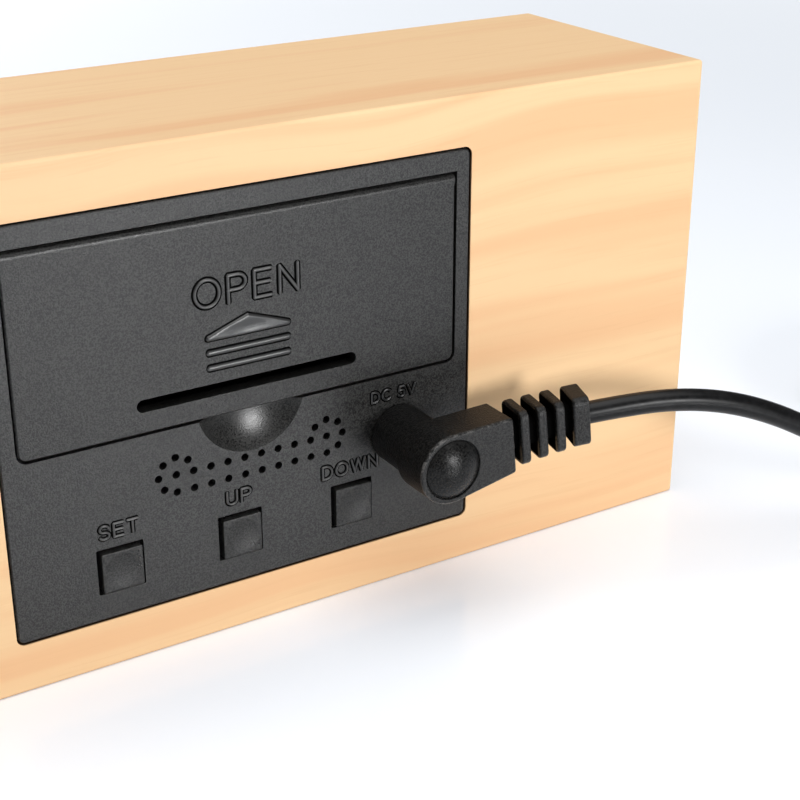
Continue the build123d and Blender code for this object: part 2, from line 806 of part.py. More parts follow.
def make_sockets():
    half = RIBBON_WIDTH / 2 + SOCKET_WALL
    low = ribbon_z - RIBBON_THICKNESS / 2 - SOCKET_WALL
    high = ribbon_z + RIBBON_THICKNESS / 2 + SOCKET_WALL
    return [
        block(-half, half, circuit_rear - SOCKET_HEIGHT, circuit_rear, low, high),
        block(-half, half, led_rear, led_rear + SOCKET_HEIGHT, low, high),
    ]


def make_ribbon():
    half = RIBBON_WIDTH / 2
    return block(
        -half,
        half,
        led_rear + SOCKET_HEIGHT,
        circuit_rear - SOCKET_HEIGHT,
        ribbon_z - RIBBON_THICKNESS / 2,
        ribbon_z + RIBBON_THICKNESS / 2,
    )


# Display


def segment_places():
    """Middle x and z, width and height of each of the seven windows of each digit, and of the colon's two."""
    across = DIGIT_WIDTH - 2 * SEGMENT_WIDTH - 2 * SEGMENT_GAP
    rise = (DIGIT_HEIGHT - SEGMENT_WIDTH) / 2
    along = rise - SEGMENT_WIDTH / 2
    side = (DIGIT_WIDTH - SEGMENT_WIDTH) / 2
    places = []
    for x in digit_places:
        for step in (-1, 0, 1):
            places.append((x, display_z + step * rise, across, SEGMENT_WIDTH))
        for way in (-1, 1):
            for step in (-1, 1):
                places.append((x + way * side, display_z + step * rise / 2, SEGMENT_WIDTH, along))
    for step in (-1, 1):
        places.append((0, display_z + step * COLON_SPACING / 2, SEGMENT_WIDTH, SEGMENT_WIDTH))
    return places


def stake_places():
    half_width = mask_width / 2 - STAKE_INSET
    half_height = mask_height / 2 - STAKE_INSET
    return [(u, display_z + z) for u in (-half_width, half_width) for z in (-half_height, half_height)]


def display_layer(depth0, depth1):
    """A plain layer of the display between two depths."""
    half_width, half_height = mask_width / 2, mask_height / 2
    return block(-half_width, half_width, depth0, depth1, display_z - half_height, display_z + half_height)


def make_mask():
    windows = [
        block(-x - wide / 2, -x + wide / 2, diffuser_rear, mask_rear, z - tall / 2, z + tall / 2)
        for x, z, wide, tall in segment_places()
    ]
    stakes = [bar(u, z, STAKE_DIAMETER, mask_rear, led_rear + STAKE_HEAD) for u, z in stake_places()]
    return display_layer(diffuser_rear, mask_rear) - windows + stakes


def make_diffuser():
    return display_layer(veneer_depth, diffuser_rear)


def make_led_board():
    hole = STAKE_DIAMETER + 2 * STAKE_CLEARANCE
    holes = [bar(u, z, hole, mask_rear, led_rear) for u, z in stake_places()]
    return display_layer(mask_rear, led_rear) - holes


def make_leds():
    chips = []
    for x, z, wide, tall in segment_places():
        long_way, short_way = (LED_LENGTH, LED_WIDTH) if wide >= tall else (LED_WIDTH, LED_LENGTH)
        chips.append(
            block(
                -x - long_way / 2,
                -x + long_way / 2,
                mask_rear - LED_HEIGHT,
                mask_rear,
                z - short_way / 2,
                z + short_way / 2,
            )
        )
    return chips


# Right-angle plug, built along u from the jack's axis and then swivelled about it


def swivelled(solid):
    axis = Pos(-JACK_OFFSET, 0, jack_z)
    return axis * Rot(0, PLUG_SWIVEL, 0) * axis.inverse() * solid


def relief_at(along):
    """How far the strain relief's middle line stands out, and its heading away from the panel in degrees."""
    root = math.radians(RELIEF_HEADING)
    heading = math.asin(math.sin(root) + (along - BODY_LENGTH) / RELIEF_RADIUS)
    out = RELIEF_RADIUS * (math.cos(root) - math.cos(heading)) - RELIEF_SETBACK
    return out, math.degrees(heading)


def across_relief(along, length, height, depth, edge, turn=0):
    """A block across the strain relief with round corners and softened ends, turned to the relief's heading."""
    out, heading = relief_at(along)
    solid = extrude(Plane.YZ * RectangleRounded(depth, height, RIB_CORNER), amount=length / 2, both=True)
    if edge:
        ends = solid.faces().sort_by(Axis.X)
        solid = fillet(ends[0].edges() + ends[-1].edges(), edge)
    middle = back_y + HEAD_FRONT - HEAD_DEPTH / 2 + out
    return Pos(-JACK_OFFSET - along, middle, jack_z) * Rot(0, 0, -heading - turn) * solid


def make_plug_boot():
    back = HEAD_FRONT - HEAD_DEPTH
    tip = (JACK_OFFSET + BODY_LENGTH, BODY_END_HEIGHT / 2)
    lean = math.asin((HEAD_DIAMETER - BODY_END_HEIGHT) / 2 / BODY_LENGTH)
    root_u = JACK_OFFSET + HEAD_DIAMETER / 2 * math.sin(lean)
    root_z = HEAD_DIAMETER / 2 * math.cos(lean)
    wedge = Polygon(
        (root_u, jack_z - root_z),
        (tip[0], jack_z - tip[1]),
        (tip[0], jack_z + tip[1]),
        (root_u, jack_z + root_z),
        align=None,
    )
    wedge = fillet(wedge.vertices().sort_by(Axis.X)[-2:], BODY_CORNER)
    outline = wedge + Pos(JACK_OFFSET, jack_z) * Circle(HEAD_DIAMETER / 2)
    head = extrude(back_plane(back) * outline, amount=HEAD_DEPTH)
    head = fillet(outer_face(head).edges(), HEAD_EDGE)
    cap = DOME_RISE + DOME_SINK
    ball = (DOME_DIAMETER**2 / 4 + cap**2) / (2 * cap)
    seat = HEAD_FRONT - DOME_SINK
    head -= bar(JACK_OFFSET, jack_z, DOME_DIAMETER + 2 * DOME_GAP, seat, HEAD_FRONT + OVERRUN)
    head = fillet(outer_face(head).inner_wires()[0].edges(), DOME_LIP)
    dome = Pos(-JACK_OFFSET, back_y + HEAD_FRONT + DOME_RISE - ball, jack_z) * Sphere(ball)
    head += dome & bar(JACK_OFFSET, jack_z, DOME_DIAMETER, seat - DOME_SINK, HEAD_FRONT + DOME_RISE + OVERRUN)
    boot = head + bar(JACK_OFFSET, jack_z, NECK_DIAMETER, PLUG_GAP, back)
    core_start = BODY_LENGTH - CORE_ROOT
    core_length = END_BLOCK_MIDDLE - core_start
    boot += across_relief(core_start + core_length / 2, core_length, CORE_HEIGHT, CORE_DEPTH, 0)
    for i in range(RIB_COUNT):
        along = RIB_START + i * RIB_PITCH
        boot += across_relief(along, RIB_THICKNESS, RIB_HEIGHT - i * RIB_TAPER, RIB_DEPTH, RIB_EDGE)
    end_block = (END_BLOCK_LENGTH, END_BLOCK_HEIGHT, RIB_DEPTH, RIB_EDGE, END_BLOCK_TURN)
    boot += across_relief(END_BLOCK_MIDDLE, *end_block)
    boot -= bar(JACK_OFFSET, jack_z, BARREL_DIAMETER + 2 * SLEEVE_CLEARANCE, PLUG_GAP, PLUG_GAP + BARREL_ROOT)
    return swivelled(boot)


def sleeve(outer, wall, depth0, depth1):
    ring = bar(JACK_OFFSET, jack_z, outer, depth0, depth1)
    return ring - bar(JACK_OFFSET, jack_z, outer - 2 * wall, depth0, depth1)


liner_diameter = BARREL_DIAMETER - 2 * BARREL_WALL - 2 * SLEEVE_CLEARANCE
contact_diameter = liner_diameter - 2 * LINER_WALL - 2 * SLEEVE_CLEARANCE
barrel_tip = PLUG_GAP - BARREL_LENGTH
barrel_end = PLUG_GAP + BARREL_ROOT


def make_barrel():
    return sleeve(BARREL_DIAMETER, BARREL_WALL, barrel_tip, barrel_end)


def make_liner():
    return sleeve(liner_diameter, LINER_WALL, barrel_tip, barrel_end)


def make_contact():
    return sleeve(contact_diameter, CONTACT_WALL, barrel_tip + CONTACT_SETBACK, barrel_end)


# Lead


def relief_end():
    """Where the cord leaves the strain relief."""
    out, heading = relief_at(END_BLOCK_MIDDLE)
    turn = math.radians(heading + END_BLOCK_TURN)
    reach = END_BLOCK_LENGTH / 2 + CORD_SEAT
    along = END_BLOCK_MIDDLE + reach * math.cos(turn)
    depth = HEAD_FRONT - HEAD_DEPTH / 2 + out + reach * math.sin(turn)
    swivel = math.radians(PLUG_SWIVEL)
    return Vector(-JACK_OFFSET - along * math.cos(swivel), back_y + depth, jack_z + along * math.sin(swivel))


exit_point = relief_end()
coil_x = exit_point.X - LEAD_ROUTE[-1][0] - CORD_DIAMETER
coil_y = exit_point.Y + LEAD_ROUTE[-1][1] - COIL_RADIUS


def make_lead():
    points = [tuple(exit_point)]
    points += [(exit_point.X - along, exit_point.Y + out, height) for along, out, height in LEAD_ROUTE]
    return cord_along("power_cord", points)


def coil_point(turn):
    """The coil winds inwards on the lower layer, climbs as it turns back and winds outwards on the upper."""
    half = COIL_TURNS / 2
    radius = COIL_RADIUS - coil_pitch * (half - abs(turn - half))
    climb = min(1, max(0, (turn - half) * 2 + 0.5))
    height = coil_low + coil_pitch * climb * climb * (3 - 2 * climb)
    angle = math.pi / 2 + 2 * math.pi * turn
    return Vector(coil_x + radius * math.cos(angle), coil_y + radius * math.sin(angle), height)


def make_coil():
    way = Vector(-1, 0, 0)
    start, end = coil_point(0), coil_point(COIL_TURNS)
    edges = [Edge.make_line(start - way * CORD_DIAMETER, start)]
    edges += wound_edges(coil_point, COIL_TURNS, way, way)
    edges.append(Edge.make_line(end, end + way * CORD_DIAMETER))
    length = sum(edge.length for edge in edges)
    solid = tube(edges, CORD_DIAMETER)
    section = math.pi * CORD_DIAMETER**2 / 4
    gap = least_gap(coil_point, COIL_TURNS, CORD_DIAMETER)
    print("cord_coil length", round(length, 1), "least gap", round(gap, 2))
    print("cord_coil volume over section times length", round(solid.volume / (section * length), 4))
    return solid


def make_tail():
    points = [(coil_x - along, coil_y + out, height) for along, out, height in TAIL_ROUTE]
    return cord_along("cord_tail", points)


def make_tie():
    """A strap round all the turns where both layers lie flat, on the side of the coil nearest the clock."""
    side = [coil_point(turn + 0.75).X - coil_x for turn in range(COIL_TURNS)]
    near = min(side) - CORD_DIAMETER / 2 - TIE_SIDE_CLEARANCE
    far = max(side) + CORD_DIAMETER / 2 + TIE_SIDE_CLEARANCE
    top = coil_high + CORD_DIAMETER / 2 + TIE_CLEARANCE
    half = TIE_WIDTH / 2
    outer = slab(
        coil_x + near - TIE_THICKNESS,
        coil_x + far + TIE_THICKNESS,
        coil_y - half,
        coil_y + half,
        0,
        top + TIE_THICKNESS,
    )
    inner = slab(coil_x + near, coil_x + far, coil_y - half, coil_y + half, TIE_THICKNESS, top)
    return outer - inner


# Supply plug, lying on its flat side and pointing to -Y

usb_x = coil_x - TAIL_ROUTE[-1][0]
usb_start = coil_y + TAIL_ROUTE[-1][1]
usb_z = USB_BOOT_THICKNESS / 2
usb_boot_start = usb_start - USB_RELIEF_LENGTH
usb_boot_end = usb_boot_start - USB_BOOT_LENGTH
usb_tip = usb_boot_end - USB_SHELL_LENGTH


def usb_prism(width, height, corner, y0, y1):
    face = Plane(origin=(usb_x, y0, usb_z), x_dir=(1, 0, 0), z_dir=(0, -1, 0))
    return extrude(face * RectangleRounded(width, height, corner), amount=y0 - y1)


def make_usb_boot():
    boot = usb_prism(USB_BOOT_WIDTH, USB_BOOT_THICKNESS, USB_BOOT_CORNER, usb_boot_start, usb_boot_end)
    ends = boot.faces().sort_by(Axis.Y)
    boot = fillet(ends[0].edges() + ends[-1].edges(), USB_BOOT_EDGE)
    tip_radius = CORD_DIAMETER / 2 + USB_RELIEF_WALL
    tip = Plane(origin=(usb_x, usb_start, usb_z), z_dir=(0, -1, 0)) * Circle(tip_radius)
    root = Plane(origin=(usb_x, usb_boot_start, usb_z), z_dir=(0, -1, 0)) * Circle(USB_RELIEF_DIAMETER / 2)
    boot += loft([tip, root])
    socket = usb_prism(
        USB_SHELL_WIDTH + 2 * SLEEVE_CLEARANCE,
        USB_SHELL_HEIGHT + 2 * SLEEVE_CLEARANCE,
        USB_SHELL_CORNER,
        usb_boot_end + USB_SHELL_ROOT,
        usb_boot_end,
    )
    return boot - socket


def make_usb_shell():
    root = usb_boot_end + USB_SHELL_ROOT
    shell = usb_prism(USB_SHELL_WIDTH, USB_SHELL_HEIGHT, USB_SHELL_CORNER, root, usb_tip)
    hollow_width = USB_SHELL_WIDTH - 2 * USB_SHELL_WALL
    hollow_height = USB_SHELL_HEIGHT - 2 * USB_SHELL_WALL
    shell -= usb_prism(hollow_width, hollow_height, USB_SHELL_CORNER - USB_SHELL_WALL, root, usb_tip)
    half = USB_LATCH_SIZE / 2
    latch_y = usb_tip + USB_LATCH_SETBACK
    for x in (usb_x - USB_LATCH_SPACING / 2, usb_x + USB_LATCH_SPACING / 2):
        shell -= slab(x - half, x + half, latch_y - half, latch_y + half, 0, USB_BOOT_THICKNESS)
    return shell


usb_tongue_bottom = usb_z - USB_SHELL_HEIGHT / 2 + USB_SHELL_WALL


def make_usb_tongue():
    half = USB_SHELL_WIDTH / 2 - USB_SHELL_WALL - SLEEVE_CLEARANCE
    low = usb_tongue_bottom + SLEEVE_CLEARANCE
    root = usb_boot_end + USB_SHELL_ROOT
    front = usb_tip + USB_TONGUE_SETBACK
    return slab(usb_x - half, usb_x + half, front, root, low, low + USB_TONGUE_THICKNESS)


def make_usb_contacts():
    low = usb_tongue_bottom + SLEEVE_CLEARANCE + USB_TONGUE_THICKNESS
    start = usb_tip + USB_CONTACT_SETBACK
    end = start + USB_CONTACT_LENGTH
    half = USB_CONTACT_WIDTH / 2
    contacts = []
    for i in range(USB_CONTACT_COUNT):
        x = usb_x + (i - (USB_CONTACT_COUNT - 1) / 2) * USB_CONTACT_PITCH
        contacts.append(slab(x - half, x + half, start, end, low, low + USB_CONTACT_THICKNESS))
    return contacts


pieces = {
    "wooden_case": make_case(),
    "front_veneer": make_veneer(),
    "panel_cleats": make_cleats(),
    "panel_screws": make_panel_screws(),
    "back_panel": make_panel(),
    "battery_door": make_door(),
    "battery_plates": make_plates(),
    "battery_springs": make_springs(),
    "switch_bodies": make_switches(),
    "main_board": make_main_board(),
    "board_screws": make_board_screws(),
    "controller_chip": make_chip(),
    "board_parts": make_board_parts(),
    "buzzer": make_buzzer(),
    "microphone": make_microphone(),
    "dc_jack_body": make_jack_body(),
    "dc_jack_pin": make_jack_pin(),
    "dc_jack_leaf": make_jack_leaf(),
    "ribbon_sockets": make_sockets(),
    "ribbon_cable": make_ribbon(),
    "segment_mask": make_mask(),
    "diffuser_film": make_diffuser(),
    "led_board": make_led_board(),
    "led_chips": make_leds(),
    "plug_boot": make_plug_boot(),
    "plug_barrel": make_barrel(),
    "plug_liner": make_liner(),
    "plug_contact": make_contact(),
    "power_cord": make_lead(),
    "cord_coil": make_coil(),
    "cord_tail": make_tail(),
    "cord_tie": make_tie(),
    "usb_boot": make_usb_boot(),
    "usb_shell": make_usb_shell(),
    "usb_tongue": make_usb_tongue(),
    "usb_contacts": make_usb_contacts(),
}
for name, u in button_places.items():
    pieces[name + "_button"] = make_button(u)
    pieces[name + "_plunger"] = make_plunger(u)

os.makedirs("parts", exist_ok=True)
for name, piece in pieces.items():
    solids = piece if isinstance(piece, list) else [piece]
    whole = Compound(children=[Part() + solid for solid in solids])
    export_step(whole, os.path.join("parts", name + ".step"))
    print(name, "solids", len(solids))
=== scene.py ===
import math

import bmesh
import bpy
import numpy as np
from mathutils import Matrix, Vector


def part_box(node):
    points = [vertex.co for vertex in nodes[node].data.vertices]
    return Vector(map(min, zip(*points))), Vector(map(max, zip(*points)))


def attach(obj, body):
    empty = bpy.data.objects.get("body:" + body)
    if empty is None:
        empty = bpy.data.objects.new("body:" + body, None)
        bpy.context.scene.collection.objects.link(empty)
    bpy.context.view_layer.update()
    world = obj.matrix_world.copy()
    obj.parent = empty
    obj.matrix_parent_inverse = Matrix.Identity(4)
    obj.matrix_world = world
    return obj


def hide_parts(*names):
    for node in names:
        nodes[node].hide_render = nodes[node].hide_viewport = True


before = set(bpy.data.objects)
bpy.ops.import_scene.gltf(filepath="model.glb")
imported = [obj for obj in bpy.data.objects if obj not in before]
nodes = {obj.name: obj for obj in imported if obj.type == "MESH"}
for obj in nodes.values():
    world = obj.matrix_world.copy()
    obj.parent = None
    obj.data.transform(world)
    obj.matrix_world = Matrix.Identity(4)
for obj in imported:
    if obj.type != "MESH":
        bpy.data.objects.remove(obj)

# Wooden digital alarm clock with its supply lead. Metres, +Z up, display towards -Y, controls towards +Y.
# Panel places are written in millimetres as seen from behind: u to the right, z above the table.

mm = 0.001
scene = bpy.context.scene
scene.view_settings.view_transform = "Standard"
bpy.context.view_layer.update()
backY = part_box("back_panel")[1].y
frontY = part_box("front_veneer")[0].y
print("frame loaded:", len(nodes), "nodes")


# Shader wiring

# A socket that can be used in sums. node adds any other node: its settings first, then its sockets.
class Wire:
    def __init__(self, tree, socket=None):
        self.tree, self.socket = tree, socket

    def node(self, kind, settings=None, values=None, out=0):
        made = self.tree.nodes.new(kind)
        for name, value in (settings or {}).items():
            setattr(made, name, value)
        self.fill(made, values or {})
        return Wire(self.tree, made.outputs[out])

    # fixed numbers and colours go on the node's own sockets, wires are linked to them
    def fill(self, made, values):
        for name, value in values.items():
            if isinstance(value, Wire):
                self.tree.links.new(value.socket, made.inputs[name])
            else:
                made.inputs[name].default_value = value

    # several outputs of the same node
    def outputs(self, names):
        return [Wire(self.tree, self.socket.node.outputs[name]) for name in names]

    def maths(self, operation, a, b):
        return self.node("ShaderNodeMath", {"operation": operation}, {0: a, 1: b})

    def __add__(self, other):
        return self.maths("ADD", self, other)

    def __sub__(self, other):
        return self.maths("SUBTRACT", self, other)

    def __rsub__(self, other):
        return self.maths("SUBTRACT", other, self)

    def __mul__(self, other):
        return self.maths("MULTIPLY", self, other)

    def __pow__(self, other):
        return self.maths("POWER", self, other)

    def __abs__(self):
        return self.maths("ABSOLUTE", self, 0)

    __radd__ = __add__
    __rmul__ = __mul__


def rgb(r, g, b):
    return (r, g, b, 1.0)


black, paintedShadeBlack = rgb(0, 0, 0), rgb(0.003, 0.003, 0.003)


def startMaterial(name):
    material = bpy.data.materials.new(name)
    material.use_nodes = True
    return material, Wire(material.node_tree)


def finishMaterial(material, sockets):
    tree = material.node_tree
    Wire(tree).fill(tree.nodes["Principled BSDF"], sockets)
    return material


# the finished shader where the share is 1, a dull black of painted shade where it is 0
def mixPaintedShade(material, w, share):
    shader = Wire(w.tree, w.tree.nodes["Principled BSDF"].outputs[0])
    dull = w.node("ShaderNodeBsdfDiffuse", values={"Color": paintedShadeBlack})
    mixed = w.node("ShaderNodeMixShader", values={0: share, 1: dull, 2: shader})
    w.tree.links.new(mixed.socket, w.tree.nodes["Material Output"].inputs["Surface"])
    return material


def objectPlace(w):
    return w.node("ShaderNodeTexCoord", out="Object")


def axesOf(w, place):
    return w.node("ShaderNodeSeparateXYZ", values={0: place}).outputs(range(3))


def joined(w, x, y, z):
    return w.node("ShaderNodeCombineXYZ", values={0: x, 1: y, 2: z})


# noise whose grains are about size metres across
def noiseOf(w, place, size, detail=2.0, roughness=0.5, distortion=0.0):
    return w.node("ShaderNodeTexNoise", values={
        "Vector": place, "Scale": 1 / size, "Detail": detail, "Roughness": roughness, "Distortion": distortion,
    })


# 0 below low, 1 above high, smooth between
def stepOf(w, value, low, high):
    values = {"Value": value, "From Min": low, "From Max": high}
    return w.node("ShaderNodeMapRange", {"interpolation_type": "SMOOTHSTEP"}, values)


def mixColour(w, factor, first, second):
    return w.node("ShaderNodeMix", {"data_type": "RGBA"}, {0: factor, 6: first, 7: second}, out=2)


def bumpOf(w, height, distance, strength=1.0):
    return w.node("ShaderNodeBump", values={"Height": height, "Distance": distance, "Strength": strength})


# Materials

# A wood film whose grain runs along the block, and round its ends. Fine lines and broad streaks are noise drawn
# out along the grain; the opening's cut wall is coloured a dark brown. The lit one lets the digits' light through.
maple = dict(
    light=rgb(0.93, 0.635, 0.355), streak=rgb(0.86, 0.47, 0.24), line=rgb(0.74, 0.42, 0.20),
    cutWallTone=rgb(0.05, 0.022, 0.01), stretch=0.035, warp=0.012, warpSize=0.07, endFrom=0.0744, endTo=0.0749,
    broadSize=0.0062, broadStep=(0.46, 0.68), broadShare=0.54,
    fineSize=0.0011, fineStep=(0.5, 0.78), fineShare=0.17,
    poreSize=0.00045, poreStep=(0.62, 0.75), poreShare=0.12, poreSink=0.4,
    cutHalf=0.03485, cutLow=0.0066, cutHigh=0.0634, cutSoft=0.0001, cutFrom=0.00005, cutDepth=0.00035,
    dull=0.42, dullSwing=0.16, bump=0.00003, bumpStrength=0.35, gloss=0.4,
)


# The time shown, 10:08, as lit windows: the digit's middle, whether the window is on both sides of it, how far the
# window is from the digit's middle each way, and half its width and height. Each is above and below the middle.
# Only the outer skin of the veneer is lit. Millimetres.
display = dict(
    middle=35.0, soft=0.42, skin=0.4, skinSoft=0.3, colour=rgb(0.80, 0.74, 0.64), base=0.75, swing=0.35,
    windows=[
        (-33.5, False, 6.1, 6.05, 1.4, 5.35),
        (-12.0, True, 6.1, 6.05, 1.4, 5.35), (-12.0, True, 0.0, 12.1, 4.1, 1.4),
        (0.0, False, 0.0, 5.5, 1.4, 1.4),
        (12.0, True, 6.1, 6.05, 1.4, 5.35), (12.0, True, 0.0, 12.1, 4.1, 1.4),
        (33.5, True, 6.1, 6.05, 1.4, 5.35), (33.5, True, 0.0, 12.1, 4.1, 1.4), (33.5, True, 0.0, 0.0, 4.1, 1.4),
    ],
)


def litWindows(w, x, y, z):
    rise = abs(z - display["middle"] * mm)
    soft = display["soft"] * mm
    total = None
    for middle, both, side, step, halfWidth, halfHeight in display["windows"]:
        reach = x - middle * mm
        if both:
            reach = abs(reach)
        inWidth = halfWidth * mm - abs(reach - side * mm)
        inHeight = halfHeight * mm - abs(rise - step * mm)
        lit = stepOf(w, w.maths("MINIMUM", inWidth, inHeight), -soft, soft)
        total = lit if total is None else w.maths("MAXIMUM", total, lit)
    return total * stepOf(w, frontY + display["skin"] * mm - y, 0, display["skinSoft"] * mm)


# 1 on the sawn wall of the panel's opening
def sawnWall(w, x, y, z):
    soft = maple["cutSoft"]
    inside = stepOf(w, maple["cutHalf"] - abs(x), 0, soft) * stepOf(w, maple["cutHigh"] - z, 0, soft)
    inside = inside * stepOf(w, z, maple["cutLow"], maple["cutLow"] + soft)
    return inside * stepOf(w, backY - y, maple["cutFrom"], maple["cutDepth"])


def mapleFilm(name, lit=False):
    material, w = startMaterial(name)
    place = objectPlace(w)
    x, y, z = axesOf(w, place)
    bend = noiseOf(w, place, maple["warpSize"], 1.0) * maple["warp"]
    alongBlock = joined(w, x * maple["stretch"], y, z + bend)
    acrossEnd = joined(w, x, y * maple["stretch"], z + bend)
    ends = stepOf(w, abs(x), maple["endFrom"], maple["endTo"])
    grain = w.node("ShaderNodeMix", {"data_type": "VECTOR"}, {0: ends, 4: alongBlock, 5: acrossEnd}, out=1)
    broad = stepOf(w, noiseOf(w, grain, maple["broadSize"], 2.0, 0.45, 0.4), *maple["broadStep"])
    fine = noiseOf(w, grain, maple["fineSize"], 3.0, 0.6)
    pores = stepOf(w, noiseOf(w, grain, maple["poreSize"], 1.0), *maple["poreStep"])
    colour = mixColour(w, broad * maple["broadShare"], maple["light"], maple["streak"])
    colour = mixColour(w, stepOf(w, fine, *maple["fineStep"]) * maple["fineShare"], colour, maple["line"])
    colour = mixColour(w, pores * maple["poreShare"], colour, maple["line"])
    if not lit:
        colour = mixColour(w, sawnWall(w, x, y, z), colour, maple["cutWallTone"])
    sockets = {
        "Base Color": colour,
        "Roughness": maple["dull"] + fine * maple["dullSwing"],
        "Normal": bumpOf(w, fine - pores * maple["poreSink"], maple["bump"], maple["bumpStrength"]),
        "Specular IOR Level": maple["gloss"],
    }
    if lit:
        amount = litWindows(w, x, y, z) * (display["base"] + fine * display["swing"])
        shine = mixColour(w, amount, black, display["colour"])
        sockets.update({"Emission Color": shine, "Emission Strength": 1.0})
    return finishMaterial(material, sockets)


# Moulded plastic: a spark-eroded grain in the bump and the gloss, soft mottling, and a few pale specks of dust.
# speck is how dark the grain's pits are, as a share of the colour; polish smooths what lies under the panel's face.
mould = dict(
    cloudSize=0.006, grainStep=(0.36, 0.64), grainDull=0.18, palest=0.9,
    dustSize=0.00042, dustStep=(0.79, 0.84), dustTone=rgb(0.32, 0.31, 0.29),
    sunkFrom=0.0001, sunkTo=0.0005, sunkSmooth=0.6,
)
# The plug's wear and painted shade: its front edge is rubbed pale, its domed cap is smoother and darkened a little as
# painted shade, its upper faces are darkened as painted shade, and the gaps between its ribs are painted dull black
# as shade. Metres; axis is the barrel's place in x and z.
plugWearAndShade = dict(
    axis=(-0.0227, 0.0234), swivel=math.radians(6.0), front=0.0358,
    edge=0.00045, edgeSoft=0.0002, rimFrom=0.00001, rimTo=0.00006, bodyEnd=0.0101, bodySoft=0.0003,
    scuffSize=0.0009, scuffStep=(0.45, 0.62), scuffTone=rgb(0.16, 0.155, 0.15),
    dome=0.0043, domeSoft=1.06, domeFrom=0.0005, domeTo=0.0003, domePolish=0.07, domeSmooth=0.55, domeShade=0.35,
    gapsFrom=0.0103, gapsTo=0.021, gapsHalf=0.0036, gapsMiddle=0.0341, gapsSoft=0.0002, gapsSunk=(0.0004, 0.0011),
    ribFront=0.0332, ribSlope=0.178, endSlope=0.3, topStep=(0.6, 0.95), topShade=0.4,
)


# where the plug's edge is rubbed, and where its cap is
def plugRubbing(w, place, across, y, rise):
    front, dome = plugWearAndShade["front"], plugWearAndShade["dome"] ** 2
    outside = stepOf(w, across * across + rise * rise, dome, dome * plugWearAndShade["domeSoft"])
    body = 1 - stepOf(w, 0 - across, plugWearAndShade["bodyEnd"], plugWearAndShade["bodyEnd"] + plugWearAndShade["bodySoft"])
    band = stepOf(w, y, front - plugWearAndShade["edge"], front - plugWearAndShade["edgeSoft"]) * outside * body
    rim = band * stepOf(w, front - y, plugWearAndShade["rimFrom"], plugWearAndShade["rimTo"])
    scuffs = stepOf(w, noiseOf(w, place, plugWearAndShade["scuffSize"], 4.0, 0.7), *plugWearAndShade["scuffStep"])
    capped = (1 - outside) * stepOf(w, y, front - plugWearAndShade["domeFrom"], front - plugWearAndShade["domeTo"])
    return rim * scuffs, capped


# where the gaps between the plug's ribs are, which get painted shade: behind the ribs' fronts, between the head and
# the end block
def ribGapShade(w, across, y, rise):
    soft = plugWearAndShade["gapsSoft"]
    tilt = (math.sin(plugWearAndShade["swivel"]), math.cos(plugWearAndShade["swivel"]))
    along, height = rise * tilt[0] - across * tilt[1], rise * tilt[1] + across * tilt[0]
    sunk = plugWearAndShade["ribFront"] + along * plugWearAndShade["ribSlope"] - y
    last = plugWearAndShade["gapsTo"] - along - (y - plugWearAndShade["gapsMiddle"]) * plugWearAndShade["endSlope"]
    gaps = stepOf(w, sunk, *plugWearAndShade["gapsSunk"]) * stepOf(w, plugWearAndShade["gapsHalf"] - abs(height), -soft, soft)
    return gaps * stepOf(w, along, plugWearAndShade["gapsFrom"], plugWearAndShade["gapsFrom"] + soft) * stepOf(w, last, 0, soft)


def mouldedPlastic(name, colour, grainSize, grainDepth, roughness, mottle=0.12, dust=0.0, gloss=0.5,
                   speck=0.62, polish=0.0, wearAndShade=0.0):
    material, w = startMaterial(name)
    place = objectPlace(w)
    x, y, z = axesOf(w, place)
    grain = noiseOf(w, place, grainSize, 2.0, 0.6)
    cloud = noiseOf(w, place, mould["cloudSize"], 3.0, 0.6)
    deep, pale = (rgb(*(min(c * share, mould["palest"]) for c in colour[:3])) for share in (speck, 2 - speck))
    tone = mixColour(w, stepOf(w, grain, *mould["grainStep"]), deep, pale)
    if dust:
        specks = stepOf(w, noiseOf(w, place, mould["dustSize"], 0.0), *mould["dustStep"])
        tone = mixColour(w, specks * dust, tone, mould["dustTone"])
    rough = roughness + (cloud - 0.5) * mottle + (grain - 0.5) * mould["grainDull"]
    relief = grain
    if polish:
        sunk = stepOf(w, backY - y, mould["sunkFrom"], mould["sunkTo"])
        rough, relief = rough - sunk * polish, grain * (1 - sunk * mould["sunkSmooth"])
    if wearAndShade:
        across, rise = x - plugWearAndShade["axis"][0], z - plugWearAndShade["axis"][1]
        rubbed, capped = plugRubbing(w, place, across, y, rise)
        rough, relief = rough - capped * plugWearAndShade["domePolish"], grain * (1 - capped * plugWearAndShade["domeSmooth"])
        tone = mixColour(w, rubbed * wearAndShade, tone, plugWearAndShade["scuffTone"])
    finishMaterial(material, {
        "Base Color": tone,
        "Roughness": rough,
        "Normal": bumpOf(w, relief, grainDepth),
        "Specular IOR Level": gloss,
    })
    # painted shade: the plug's domed cap, its upper faces and the gaps between its ribs are mixed towards dull black
    if wearAndShade:
        upward = axesOf(w, w.node("ShaderNodeTexCoord", out="Normal"))[2]
        tops = stepOf(w, upward, *plugWearAndShade["topStep"])
        unshadedShare = (1 - capped * plugWearAndShade["domeShade"]) * (1 - tops * plugWearAndShade["topShade"])
        mixPaintedShade(material, w, (1 - ribGapShade(w, across, y, rise)) * unshadedShare)
    return material


# A woven strap: over and under threads as a sine product of the strap's own UV, in threads.
weave = dict(deep=rgb(0.004, 0.004, 0.004), fuzzSize=0.00025, dull=0.85, bump=0.0002, gloss=0.25)


